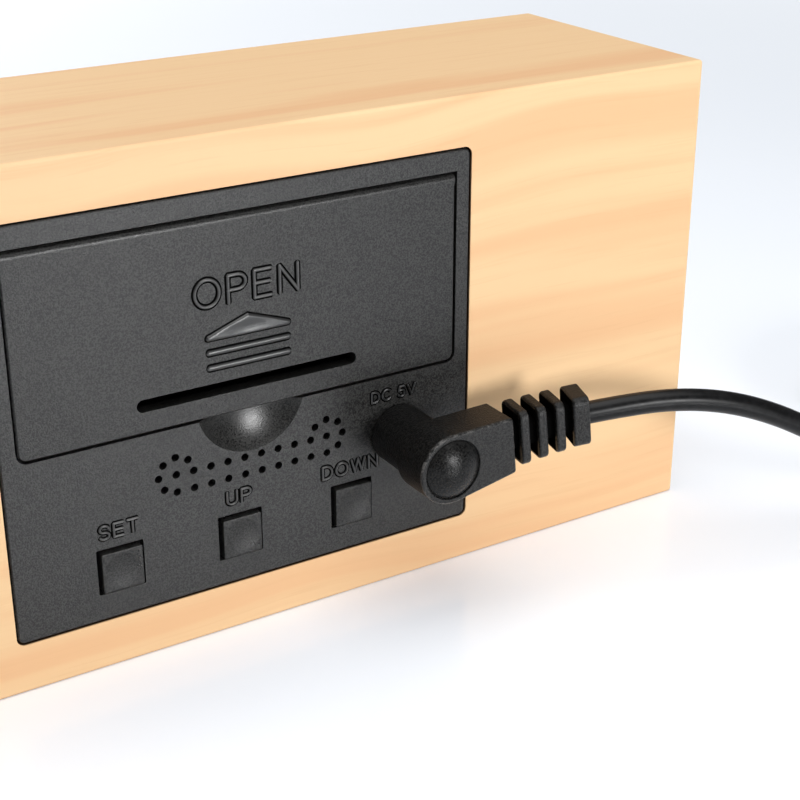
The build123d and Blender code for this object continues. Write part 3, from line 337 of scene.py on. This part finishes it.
def wovenStrap(name, colour):
    material, w = startMaterial(name)
    u, v, _ = axesOf(w, w.node("ShaderNodeUVMap", {"uv_map": "UVMap"}))
    threads = w.maths("SINE", u * math.pi, 0) * w.maths("SINE", v * math.pi, 0)
    fuzz = noiseOf(w, objectPlace(w), weave["fuzzSize"], 3.0, 0.7)
    height = threads * 0.5 + fuzz * 0.5
    return finishMaterial(material, {
        "Base Color": mixColour(w, height, weave["deep"], colour),
        "Roughness": weave["dull"],
        "Normal": bumpOf(w, height, weave["bump"]),
        "Specular IOR Level": weave["gloss"],
    })


# Metal with fine marks drawn out along one axis, in the gloss and the bump.
drawn = dict(markSize=0.00012, deep=0.8, dullSwing=0.2, bump=0.000004, bumpStrength=0.5)


def drawnMetal(name, colour, roughness, stretch):
    material, w = startMaterial(name)
    x, y, z = axesOf(w, objectPlace(w))
    marks = noiseOf(w, joined(w, x * stretch[0], y * stretch[1], z * stretch[2]), drawn["markSize"], 2.0)
    deep = rgb(*(c * drawn["deep"] for c in colour[:3]))
    return finishMaterial(material, {
        "Base Color": mixColour(w, marks, deep, colour),
        "Metallic": 1.0,
        "Roughness": roughness + (marks - 0.5) * drawn["dullSwing"],
        "Normal": bumpOf(w, marks, drawn["bump"], drawn["bumpStrength"]),
    })


# A board's green lacquer over a net of tracks.
lacquer = dict(
    scale=260.0, trackWidth=0.03, first=rgb(0.018, 0.13, 0.05), second=rgb(0.012, 0.10, 0.04),
    track=rgb(0.04, 0.2, 0.08), shade=rgb(0.01, 0.08, 0.03), shadeShare=0.3, cloudSize=0.003,
    dull=0.28, dullSwing=0.12,
)


def boardLacquer(name):
    material, w = startMaterial(name)
    place = objectPlace(w)
    tracks = w.node("ShaderNodeTexBrick", {"offset": 0.5}, {
        "Vector": place, "Scale": lacquer["scale"], "Mortar Size": lacquer["trackWidth"],
        "Color1": lacquer["first"], "Color2": lacquer["second"], "Mortar": lacquer["track"],
    })
    cloud = noiseOf(w, place, lacquer["cloudSize"])
    return finishMaterial(material, {
        "Base Color": mixColour(w, cloud * lacquer["shadeShare"], tracks, lacquer["shade"]),
        "Roughness": lacquer["dull"] + cloud * lacquer["dullSwing"],
    })


blackGrain = rgb(0.0162, 0.0160, 0.0152)
finishes = {
    "maple": mapleFilm("maple film"),
    "display": mapleFilm("maple film over the display", lit=True),
    "pine": mouldedPlastic("raw pine", rgb(0.62, 0.43, 0.22), 0.0006, 0.00004, 0.7),
    "panel": mouldedPlastic("panel spark grain", blackGrain, 0.00021, 0.00004, 0.33,
                            gloss=0.43, speck=0.0, polish=0.03),
    "door": mouldedPlastic("door spark grain", blackGrain, 0.00021, 0.00004, 0.33, gloss=0.39, speck=0.0),
    "button": mouldedPlastic("button satin", blackGrain, 0.00024, 0.00004, 0.33,
                             mottle=0.3, gloss=0.37, speck=0.0),
    "plug": mouldedPlastic("plug moulding", rgb(0.0112, 0.011, 0.0106), 0.00026, 0.0001, 0.36,
                           mottle=0.2, dust=0.05, gloss=0.29, speck=0.0, wearAndShade=0.7),
    "boot": mouldedPlastic("supply moulding", rgb(0.012, 0.0118, 0.0115), 0.0002, 0.00006, 0.38,
                           mottle=0.2, speck=0.3),
    "jacket": mouldedPlastic("cord jacket", rgb(0.005, 0.005, 0.0054), 0.0009, 0.00001, 0.34,
                             mottle=0.1, gloss=0.2),
    "strap": wovenStrap("strap weave", rgb(0.02, 0.02, 0.021)),
    "moulding": mouldedPlastic("black moulding", rgb(0.02, 0.02, 0.02), 0.0003, 0.00002, 0.45),
    "ivory": mouldedPlastic("ivory moulding", rgb(0.78, 0.76, 0.70), 0.0005, 0.00001, 0.4),
    "ribbon": mouldedPlastic("flat cable", rgb(0.42, 0.43, 0.44), 0.0006, 0.00002, 0.4),
    "milky": mouldedPlastic("milky film", rgb(0.85, 0.86, 0.86), 0.0008, 0.00001, 0.5),
    "lens": mouldedPlastic("clear cap", rgb(0.85, 0.80, 0.55), 0.0005, 0.00001, 0.2),
    "board": boardLacquer("solder mask"),
    "screw": drawnMetal("zinc", rgb(0.48, 0.48, 0.47), 0.36, (1, 1, 1)),
    "spring": drawnMetal("nickelled steel", rgb(0.66, 0.65, 0.62), 0.25, (0.1, 1, 1)),
    "plate": drawnMetal("plated steel", rgb(0.62, 0.62, 0.62), 0.24, (1, 0.08, 1)),
    "brass": drawnMetal("brass", rgb(0.80, 0.55, 0.22), 0.25, (1, 0.1, 1)),
    "can": drawnMetal("aluminium can", rgb(0.70, 0.70, 0.71), 0.3, (1, 1, 0.1)),
}

nodeFinish = {
    "wooden_case": "maple", "front_veneer": "display", "panel_cleats": "pine", "panel_screws": "screw",
    "back_panel": "panel", "battery_door": "door", "battery_plates": "plate", "battery_springs": "spring",
    "switch_bodies": "moulding", "main_board": "board", "board_screws": "screw",
    "controller_chip": "moulding", "board_parts": "can", "buzzer": "moulding", "microphone": "can",
    "dc_jack_body": "moulding", "dc_jack_pin": "brass", "dc_jack_leaf": "plate",
    "ribbon_sockets": "ivory", "ribbon_cable": "ribbon", "segment_mask": "moulding",
    "diffuser_film": "milky", "led_board": "board", "led_chips": "lens",
    "plug_boot": "plug", "plug_barrel": "plate", "plug_liner": "moulding", "plug_contact": "brass",
    "usb_boot": "boot", "usb_shell": "plate", "usb_tongue": "ivory", "usb_contacts": "brass",
    "power_cord": "jacket", "cord_coil": "jacket", "cord_tail": "jacket", "cord_tie": "strap",
}
for key in ("set", "up", "down"):
    nodeFinish[key + "_button"] = "button"
    nodeFinish[key + "_plunger"] = "moulding"
for nodeName, finish in nodeFinish.items():
    mesh = nodes[nodeName].data
    mesh.materials.clear()
    mesh.materials.append(finishes[finish])
print("finishes on", len(nodeFinish), "nodes")


# Camera

view = dict(
    place=(0.086756, 0.19772, 0.120288), look=(-0.48365, -0.77577, -0.40532), lens=73.06, sensor=36.0, clip=0.005,
)


def makeCamera():
    data = bpy.data.cameras.new("view")
    data.lens, data.sensor_width = view["lens"], view["sensor"]
    data.clip_start = view["clip"]
    camera = bpy.data.objects.new("view", data)
    camera.location = view["place"]
    camera.rotation_mode = "QUATERNION"
    camera.rotation_quaternion = Vector(view["look"]).to_track_quat("-Z", "Y")
    scene.collection.objects.link(camera)
    scene.camera = camera


makeCamera()
print("camera placed")


# Lead

# One smooth line from the plug's strain relief to the supply plug. The coil winds inwards on the lower layer, climbs
# as it turns back and winds outwards on the upper one. The route's points are counted from the exit and the tail's
# from the coil's middle: how far to the right and out as seen from behind, and the height. Millimetres.
lead = dict(
    diameter=3.3, exitPoint=(-45.805, 34.578, 25.829), length=883,
    route=[
        (7.2, 2.15, 26.45), (14.4, 4.2, 26.2), (21.4, 6.05, 24.8), (28.2, 7.7, 22.2), (34.9, 9.1, 18.6),
        (41.6, 10.3, 14.3), (48.5, 11.35, 9.9), (55.6, 12.25, 6.15), (62.9, 13.05, 3.5), (70.2, 13.75, 2.1),
        (77.3, 14.25, 1.9), (84.2, 14.5, 2.35), (91.2, 14.5, 2.35),
    ],
    coilMiddle=(-140.305, 24.078), coilRadius=25.0, coilPitch=3.75, coilTurns=6, coilLow=2.35, pointsPerTurn=16,
    tail=[
        (3.3, 25.0, 6.1), (9.5, 25.0, 6.1), (18.0, 23.8, 5.6), (25.6, 19.6, 4.95), (31.4, 13.2, 4.45),
        (34.2, 5.2, 4.2), (34.2, -2.0, 4.2),
    ],
)


# A flat spiral in to half its turns and out again: the radius goes with the turns from the ends, and the height
# goes up one pitch within half a turn of the middle, as 3 c^2 - 2 c^3.
def coilPoints():
    half = lead["coilTurns"] / 2
    turn = np.arange(lead["coilTurns"] * lead["pointsPerTurn"] + 1) / lead["pointsPerTurn"]
    radius = lead["coilRadius"] - lead["coilPitch"] * (half - abs(turn - half))
    climb = np.clip((turn - half) * 2 + 0.5, 0, 1)
    height = lead["coilLow"] + lead["coilPitch"] * climb * climb * (3 - 2 * climb)
    angle = np.pi / 2 + 2 * np.pi * turn
    middle = lead["coilMiddle"]
    return np.stack([middle[0] + radius * np.cos(angle), middle[1] + radius * np.sin(angle), height], 1)


def leadPoints():
    start, middle = np.array(lead["exitPoint"]), lead["coilMiddle"]
    out, tail = np.array(lead["route"]), np.array(lead["tail"])
    out = np.stack([start[0] - out[:, 0], start[1] + out[:, 1], out[:, 2]], 1)
    tail = np.stack([middle[0] - tail[:, 0], middle[1] + tail[:, 1], tail[:, 2]], 1)
    return np.concatenate([start[None], out, coilPoints(), tail]) * mm


def makeLead():
    points = leadPoints()
    curve = bpy.data.curves.new("supply_cord", "CURVE")
    curve.dimensions = "3D"
    spline = curve.splines.new("NURBS")
    spline.points.add(len(points) - 1)
    spline.points.foreach_set("co", np.concatenate([points, np.ones((len(points), 1))], 1).ravel())
    spline.order_u = 3
    spline.use_endpoint_u = True
    spline.resolution_u = 6
    curve.bevel_depth = lead["diameter"] * mm / 2
    curve.bevel_resolution = 5
    curve.use_fill_caps = True
    cord = bpy.data.objects.new("supply_cord", curve)
    scene.collection.objects.link(cord)
    curve.materials.append(finishes["jacket"])
    return cord


supplyCord = makeLead()
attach(supplyCord, "supply_lead")
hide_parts("power_cord", "cord_coil", "cord_tail")
print("lead laid")


# Pieces from grids of points

# Faces of a grid of points with the given rows and columns.
def gridFaces(rows, columns):
    index = np.arange(rows * columns).reshape(rows, columns)
    corners = [index[:-1, :-1], index[:-1, 1:], index[1:, 1:], index[1:, :-1]]
    return np.stack([c.ravel() for c in corners], 1)


# Points that meet at a seam or a pole become one.
def closeSeams(mesh):
    shape = bmesh.new()
    shape.from_mesh(mesh)
    bmesh.ops.remove_doubles(shape, verts=shape.verts, dist=1e-7)
    shape.to_mesh(mesh)
    shape.free()
    mesh.update()


def addPiece(name, verts, faces, material, body, slot, caps=(), uv=None):
    mesh = bpy.data.meshes.new(name)
    mesh.from_pydata(verts.tolist(), [], faces.tolist() + list(caps))
    mesh.materials.append(material)
    mesh.polygons.foreach_set("use_smooth", np.arange(len(mesh.polygons)) < len(faces))
    if uv is not None:
        corners = np.empty(len(mesh.loops), dtype=np.int32)
        mesh.loops.foreach_get("vertex_index", corners)
        mesh.uv_layers.new(name="UVMap").data.foreach_set("uv", uv[corners].astype(np.float32).ravel())
    closeSeams(mesh)
    piece = bpy.data.objects.new(name, mesh)
    scene.collection.objects.link(piece)
    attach(piece, body)
    return piece


# Puts several grids of points, each rows x columns x 3, into one list of points and faces.
def gatherGrids(grids):
    verts, faces, count = [], [], 0
    for grid in grids:
        verts.append(grid.reshape(-1, 3))
        faces.append(gridFaces(grid.shape[0], grid.shape[1]) + count)
        count += verts[-1].shape[0]
    return np.concatenate(verts), np.concatenate(faces)


# Strap round the coil

# A flat band carried round a leaning box with round corners, as the coil's lower layer lies further in than its
# upper one. Its section is rounded at both edges. The loose end lies on top of the start, so the line runs on past a
# full turn and climbs by its own thickness and a little more. Millimetres.
strap = dict(
    corner=1.7, lean=1.87, thickness=0.5, start=4.0, overlap=9.0, climb=2.5, clear=0.02, threads=0.55,
    cornerSteps=13, lineSteps=240, edgeSteps=7, faceSteps=15,
)


# The band's middle line in x and z, the way along it, and how far it is lifted off the box.
def strapLine(low, high):
    corner, lean, half = strap["corner"], strap["lean"], strap["thickness"] / 2
    x0, x1, z0, z1 = low[0] + half, high[0] - half, low[2] + half, high[2] - half
    tilt = math.degrees(math.atan2(lean, z1 - z0 - 2 * corner))
    bends = [(x1 - corner, z1 - corner, 90, -tilt), (x1 - corner - lean, z0 + corner, -tilt, -90),
             (x0 + corner, z0 + corner, -90, -180 - tilt), (x0 + corner + lean, z1 - corner, 180 - tilt, 90)]
    startPoint = np.array([[low[0] + strap["start"], z1]])
    path = [startPoint]
    for x, z, start, end in bends:
        angle = np.radians(np.linspace(start, end, strap["cornerSteps"]))
        path.append(np.stack([x + corner * np.cos(angle), z + corner * np.sin(angle)], 1))
    path = np.concatenate(path + [startPoint])
    far = np.concatenate([[0], np.cumsum(np.linalg.norm(np.diff(path, axis=0), axis=1))])
    turn = far[-1]
    along = np.linspace(0, turn + strap["overlap"], strap["lineSteps"])
    wrapped = np.where(along > turn, along - turn, along)
    line = np.stack([np.interp(wrapped, far, path[:, 0]), np.interp(wrapped, far, path[:, 1])], 1)
    lift = np.clip((along - turn + strap["climb"]) / strap["climb"], 0, 1)
    return line, along, (lift * lift * (3 - 2 * lift)) * (strap["thickness"] + strap["clear"])


def makeStrap():
    low, high = (np.array(corner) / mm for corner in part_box("cord_tie"))
    line, along, lift = strapLine(low, high)
    way = np.gradient(line, axis=0)
    way /= np.linalg.norm(way, axis=1)[:, None]
    normal = np.stack([-way[:, 1], way[:, 0]], 1)
    halfWide, halfThick = (high[1] - low[1]) / 2, strap["thickness"] / 2
    angle = np.linspace(-np.pi / 2, np.pi / 2, strap["edgeSteps"])
    edge, swell = halfWide - halfThick + halfThick * np.cos(angle), halfThick * np.sin(angle)
    flat = np.linspace(halfWide, -halfWide, strap["faceSteps"])[1:-1]
    face = np.full(len(flat), halfThick)
    across = np.concatenate([edge, flat, -edge, -flat])
    out = np.concatenate([swell, face, -swell, -face])
    across, out = np.append(across, across[0]), np.append(out, out[0])
    middle = line[:, None] + normal[:, None] * (out[None, :, None] + lift[:, None, None])
    rows, columns = middle.shape[:2]
    y = np.broadcast_to((high[1] + low[1]) / 2 + across, (rows, columns))
    points = np.stack([middle[..., 0], y, middle[..., 1]], -1) * mm
    uv = np.stack(np.broadcast_arrays(along[:, None], across), -1).reshape(-1, 2) / strap["threads"]
    firstRow = np.arange(columns - 1)
    lastRow = firstRow + (rows - 1) * columns
    piece = addPiece("coil_strap", *gatherGrids([points]), finishes["strap"], "supply_lead", "tie_fabric",
                     caps=[firstRow[::-1].tolist(), lastRow.tolist()], uv=uv)
    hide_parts("cord_tie")
    return piece


coilStrap = makeStrap()
print("coil strapped")


# Raised lettering and signs

# Points in millimetres as seen from behind, with a rise out of the panel's face, into the model's metres.
def fromBehind(u, z, rise):
    return np.stack([-u * mm, backY + rise * mm, z * mm], -1)


# A rounded ridge carried along a line: its section is rise * (1 - |a|^crown) on a thin flat foot, closed below, and
# shrinks as a circle at both ends. The foot's top, its sole, stands a little out of the panel's face.
ridgeForm = dict(crown=1.7, sole=0.014, footDepth=0.03, capSteps=6, acrossSteps=11)


def ridge(line, width, rise, foot, closed=False, sole=ridgeForm["sole"]):
    half, steps = width / 2, ridgeForm["capSteps"]
    way = np.gradient(line, axis=0)
    if closed:
        way[0] = way[-1] = line[1] - line[-2]
    way /= np.linalg.norm(way, axis=1)[:, None]
    size = np.ones(len(line))
    if not closed:
        cap = np.linspace(0, np.pi / 2, steps + 1)[1:]
        line = np.concatenate([line[0] - way[0] * (half * np.sin(cap[::-1]))[:, None], line,
                               line[-1] + way[-1] * (half * np.sin(cap))[:, None]])
        way = np.concatenate([np.repeat(way[:1], steps, 0), way, np.repeat(way[-1:], steps, 0)])
        size = np.concatenate([np.cos(cap[::-1]), size, np.cos(cap)])
    side = np.stack([way[:, 1], -way[:, 0]], 1)
    across = np.sin(np.linspace(-np.pi / 2, np.pi / 2, ridgeForm["acrossSteps"]))
    dome = rise * (1 - abs(across) ** ridgeForm["crown"])
    offsets = half * size[:, None] * across
    brim = foot * size[:, None]
    left, right = offsets[:, :1] - brim, offsets[:, -1:] + brim
    offsets = np.concatenate([left, left, offsets, right, right, left], 1)
    flat = np.full((len(line), 1), sole)
    under = flat - ridgeForm["footDepth"]
    heights = np.concatenate([under, flat, flat + size[:, None] * dome, flat, under, under], 1)
    points = line[:, None] + side[:, None] * offsets[..., None]
    return fromBehind(points[..., 0], points[..., 1], heights)


def straight(*corners):
    corners = np.array(corners, float)
    return np.concatenate([np.linspace(a, b, 9)[:-1] for a, b in zip(corners, corners[1:])] + [corners[-1:]])


def arc(middle, radii, start, end):
    angle = np.radians(np.linspace(start, end, 33))
    return np.stack([middle[0] + radii[0] * np.cos(angle), middle[1] + radii[1] * np.sin(angle)], 1)


# Each letter's width and the lines of its strokes, for a height of 1.
glyphs = {
    "O": (0.86, [arc((0.43, 0.5), (0.43, 0.5), 0, 360)]),
    "P": (0.62, [straight((0, 0), (0, 1)), straight((0, 1), (0.34, 1)),
                 arc((0.34, 0.73), (0.28, 0.27), 90, -90), straight((0.34, 0.46), (0, 0.46))]),
    "E": (0.60, [straight((0, 0), (0, 1)), straight((0, 1), (0.6, 1)),
                 straight((0, 0.53), (0.55, 0.53)), straight((0, 0), (0.6, 0))]),
    "N": (0.66, [straight((0, 0), (0, 1)), straight((0, 1), (0.66, 0)), straight((0.66, 0), (0.66, 1))]),
    "U": (0.66, [straight((0, 1), (0, 0.34)), arc((0.33, 0.34), (0.33, 0.34), 180, 360),
                 straight((0.66, 0.34), (0.66, 1))]),
    "D": (0.70, [straight((0, 0), (0, 1)), straight((0, 1), (0.26, 1)),
                 arc((0.26, 0.5), (0.44, 0.5), 90, -90), straight((0.26, 0), (0, 0))]),
    "W": (1.02, [straight((0, 1), (0.25, 0)), straight((0.25, 0), (0.51, 1)),
                 straight((0.51, 1), (0.77, 0)), straight((0.77, 0), (1.02, 1))]),
    "S": (0.62, [arc((0.31, 0.75), (0.29, 0.25), 25, 270), arc((0.31, 0.25), (0.31, 0.25), 90, -155)]),
    "T": (0.66, [straight((0, 1), (0.66, 1)), straight((0.33, 1), (0.33, 0))]),
    "C": (0.76, [arc((0.43, 0.5), (0.43, 0.5), 42, 318)]),
    "5": (0.58, [straight((0.52, 1), (0.12, 1)), straight((0.12, 1), (0.05, 0.52)),
                 arc((0.27, 0.32), (0.31, 0.32), 135, -150)]),
    "V": (0.70, [straight((0, 1), (0.35, 0)), straight((0.35, 0), (0.7, 1))]),
    " ": (0.16, []),
}

# The words' places on the panel. Each stroke stands a hair, lift, higher than the last, so that no two share a point.
lettering = dict(gap=0.32, foot=0.06, footShare=0.2, lift=0.0004)
wordTone = rgb(0.05, 0.05, 0.049)
labels = {
    "open_word": dict(text="OPEN", u=0.03, low=47.52, high=51.74, width=15.3, stroke=0.56, rise=0.30,
                      tone=wordTone, body="battery_door"),
    "up_word": dict(text="UP", u=-2.42, low=18.98, high=21.28, width=3.9, stroke=0.42, rise=0.24,
                    tone=wordTone, body="clock"),
    # DOWN is a little darker than the other words, as painted shade
    "down_word": dict(text="DOWN", u=14.88, low=18.86, high=21.16, width=9.2, stroke=0.42, rise=0.24,
                      tone=rgb(0.035, 0.035, 0.034), body="clock"),
    "set_word": dict(text="SET", u=-19.75, low=18.92, high=21.22, width=5.7, stroke=0.42, rise=0.24,
                     tone=wordTone, body="clock"),
    # DC 5V is much darker than the other words, as painted shade
    "supply_word": dict(text="DC 5V", u=22.0, low=28.6, high=30.5, width=7.4, stroke=0.40, rise=0.22,
                        tone=rgb(0.008, 0.008, 0.008), body="clock"),
}


def labelGrids(label):
    stroke, gap = label["stroke"], lettering["gap"]
    tall = label["high"] - label["low"] - stroke
    natural = sum(glyphs[c][0] for c in label["text"]) + gap * (len(label["text"]) - 1)
    wide = (label["width"] - stroke) / natural
    foot = lettering["foot"] + stroke * lettering["footShare"]
    grids, along = [], 0.0
    for letter in label["text"]:
        width, strokes = glyphs[letter]
        for line in strokes:
            u = label["u"] - label["width"] / 2 + stroke / 2 + (along + line[:, 0]) * wide
            z = label["low"] + stroke / 2 + line[:, 1] * tall
            ring = np.allclose(line[0], line[-1])
            sole = ridgeForm["sole"] + lettering["lift"] * len(grids)
            grids.append(ridge(np.stack([u, z], 1), stroke, label["rise"], foot, ring, sole))
        along += width + gap
    return grids


# Smooth plastic on the crest of what stands out of the panel, and a foot of painted shade in dull black, a dark
# outline round each raised stroke.
raised = dict(grainSize=0.00026, crest=(0.25, 0.7), dull=0.24, dullSwing=0.16, bump=0.00002, gloss=0.75)


def raisedPlastic(name, colour, rise):
    material, w = startMaterial(name)
    place = objectPlace(w)
    y = axesOf(w, place)[1]
    grain = noiseOf(w, place, raised["grainSize"], 2.0, 0.6)
    finishMaterial(material, {
        "Base Color": colour,
        "Roughness": raised["dull"] + grain * raised["dullSwing"],
        "Normal": bumpOf(w, grain, raised["bump"]),
        "Specular IOR Level": raised["gloss"],
    })
    # painted shade: below the crest the plastic fades to dull black
    return mixPaintedShade(material, w, stepOf(w, y, *(backY + share * rise * mm for share in raised["crest"])))


for name, label in labels.items():
    finish = raisedPlastic(name + " plastic", label["tone"], label["rise"])
    slot = "door_plastic" if label["body"] == "battery_door" else "panel_plastic"
    addPiece(name, *gatherGrids(labelGrids(label)), finish, label["body"], slot)
print("words raised")

# The arrow's rings: how far each is set in from the outline, and its height as a share of the rise. The face inside
# them is hollowed by hollow * exp(-(u / hollowWide)^2 - ((z - hollowMiddle) / hollowTall)^2).
arrow = dict(
    apex=(-0.05, 46.02), base=6.15, low=43.12, corner=0.42, apexDrop=1.1, leastCorner=0.02, rise=0.42,
    insets=[-0.14, -0.14, 0.0, 0.05, 0.13, 0.24, 0.37, 0.52],
    rims=[-0.07, 0.0, 0.0, 0.33, 0.62, 0.84, 0.96, 1.0],
    hollow=0.22, hollowWide=3.2, hollowTall=0.8, hollowMiddle=44.1, faceRings=12, tipSteps=12, sideSteps=24,
)
bars = dict(half=6.2, middles=(41.5, 39.4), width=0.95, rise=0.30, foot=0.13)
signTone = rgb(0.022, 0.022, 0.022)


# The outline of a triangle with round corners: an arc about each tip, and the straight runs between them.
def roundTriangle(tips, radius):
    outline = []
    for i in range(3):
        before, here, after = tips[i - 1], tips[i], tips[(i + 1) % 3]
        first, last = here - before, after - here
        start = math.atan2(-first[0], first[1])
        turn = (math.atan2(-last[0], last[1]) - start) % (2 * math.pi)
        angle = start + np.linspace(0, turn, arrow["tipSteps"])
        outline.append(here + radius * np.stack([np.cos(angle), np.sin(angle)], 1))
        side = radius * np.array([np.cos(angle[-1]), np.sin(angle[-1])])
        outline.append(np.linspace(here + side, after + side, arrow["sideSteps"])[1:-1])
    return np.concatenate(outline + [outline[0][:1]])


# A low arrowhead: rings of that outline, each set further in than the last, rise from a flat foot over a rounded rim
# to the hollowed face, and close at the triangle's own middle above and below.
def arrowGrid():
    corner, least, rise = arrow["corner"], arrow["leastCorner"], arrow["rise"]
    tips = np.array([arrow["apex"], (-arrow["base"], arrow["low"]), (arrow["base"], arrow["low"])])
    tips = tips + np.array([(0, -corner * arrow["apexDrop"]), (corner, corner), (-corner, corner)])
    sides = np.linalg.norm(np.roll(tips, -1, 0) - np.roll(tips, 1, 0), axis=1)
    middle = (tips * sides[:, None]).sum(0) / sides.sum()
    inRadius = middle[1] - tips[1, 1]
    rings = []
    for inset in arrow["insets"]:
        shrink = 1 - max(inset - corner + least, 0) / inRadius
        rings.append(roundTriangle(middle + (tips - middle) * shrink, max(corner - inset, least)))
    innermost = rings[-1]
    for share in np.linspace(0, 1, arrow["faceRings"] + 1)[1:]:
        rings.append(innermost * (1 - share) + middle * share)
    rings = np.stack([np.broadcast_to(middle, innermost.shape)] + rings)
    heights = np.array(arrow["rims"][:1] + arrow["rims"] + [1.0] * arrow["faceRings"]) * rise
    heights = np.broadcast_to(heights[:, None], rings.shape[:2])
    u, z = rings[..., 0], rings[..., 1]
    bowl = np.exp(-(u / arrow["hollowWide"]) ** 2 - ((z - arrow["hollowMiddle"]) / arrow["hollowTall"]) ** 2)
    heights = heights - arrow["hollow"] * bowl * np.clip(heights / rise, 0, 1) ** 4
    return fromBehind(u, z, heights + ridgeForm["sole"])


signFinish = raisedPlastic("sign plastic", signTone, bars["rise"])
addPiece("arrow_sign", *gatherGrids([arrowGrid()]), signFinish, "battery_door", "door_plastic")
reach = bars["half"] - bars["width"] / 2
barLines = [straight((-reach, z), (reach, z)) for z in bars["middles"]]
barGrids = [ridge(line, bars["width"], bars["rise"], bars["foot"]) for line in barLines]
addPiece("arrow_bars", *gatherGrids(barGrids), signFinish, "battery_door", "door_plastic")
print("signs raised")


# Floor and light

# The floor glows a little where it is seen, more far away; towards the object it is a plain grey, bounce.
stage = dict(
    floor=rgb(0.90, 0.91, 0.93), bounce=rgb(0.6, 0.6, 0.6), dull=0.16, gloss=0.5, size=16.0,
    glow=rgb(0.12, 0.15, 0.19), farGlow=rgb(0.60, 0.63, 0.66), near=0.25, far=1.0,
    world=rgb(0.97, 0.98, 1.0), worldStrength=0.15,
)
lamps = {
    "key": dict(place=(-0.12, 0.42, 0.11), aim=(0.0, 0.0215, 0.035), size=(0.11, 0.10), power=1.15),
    "top": dict(place=(-0.20, 0.30, 2.6), aim=(-0.20, 0.20, 0.0), size=(2.6, 2.6), power=62.0),
    "face": dict(place=(0.15, -0.60, 0.25), aim=(0.0, 0.0, 0.03), size=(0.5, 0.3), power=2.0),
}


def makeFloor():
    half = stage["size"] / 2
    corners = [(-half, -half, 0), (half, -half, 0), (half, half, 0), (-half, half, 0)]
    mesh = bpy.data.meshes.new("floor")
    mesh.from_pydata(corners, [], [(0, 1, 2, 3)])
    floor = bpy.data.objects.new("floor", mesh)
    scene.collection.objects.link(floor)
    material, w = startMaterial("pale table")
    camera, glossy, through = w.node("ShaderNodeLightPath").outputs(
        ("Is Camera Ray", "Is Glossy Ray", "Is Transmission Ray"))
    seen = w.maths("MINIMUM", camera + glossy + through, 1)
    x, y, _ = axesOf(w, objectPlace(w))
    distance = (x * x + y * y) ** 0.5
    glow = mixColour(w, stepOf(w, distance, stage["near"], stage["far"]), stage["glow"], stage["farGlow"])
    mesh.materials.append(finishMaterial(material, {
        "Base Color": mixColour(w, seen, stage["bounce"], stage["floor"]),
        "Emission Color": mixColour(w, seen, black, glow),
        "Emission Strength": 1.0,
        "Roughness": stage["dull"],
        "Specular IOR Level": stage["gloss"],
    }))


def makeWorld():
    world = bpy.data.worlds.new("studio")
    world.use_nodes = True
    sky = world.node_tree.nodes["Background"]
    sky.inputs["Color"].default_value = stage["world"]
    sky.inputs["Strength"].default_value = stage["worldStrength"]
    scene.world = world


def makeLamps():
    for name, lamp in lamps.items():
        data = bpy.data.lights.new(name, "AREA")
        data.shape = "RECTANGLE"
        data.size, data.size_y = lamp["size"]
        data.energy = lamp["power"]
        light = bpy.data.objects.new(name, data)
        light.location = lamp["place"]
        light.rotation_mode = "QUATERNION"
        light.rotation_quaternion = (Vector(lamp["aim"]) - Vector(lamp["place"])).to_track_quat("-Z", "Y")
        scene.collection.objects.link(light)


makeFloor()
makeWorld()
makeLamps()
print("stage lit")
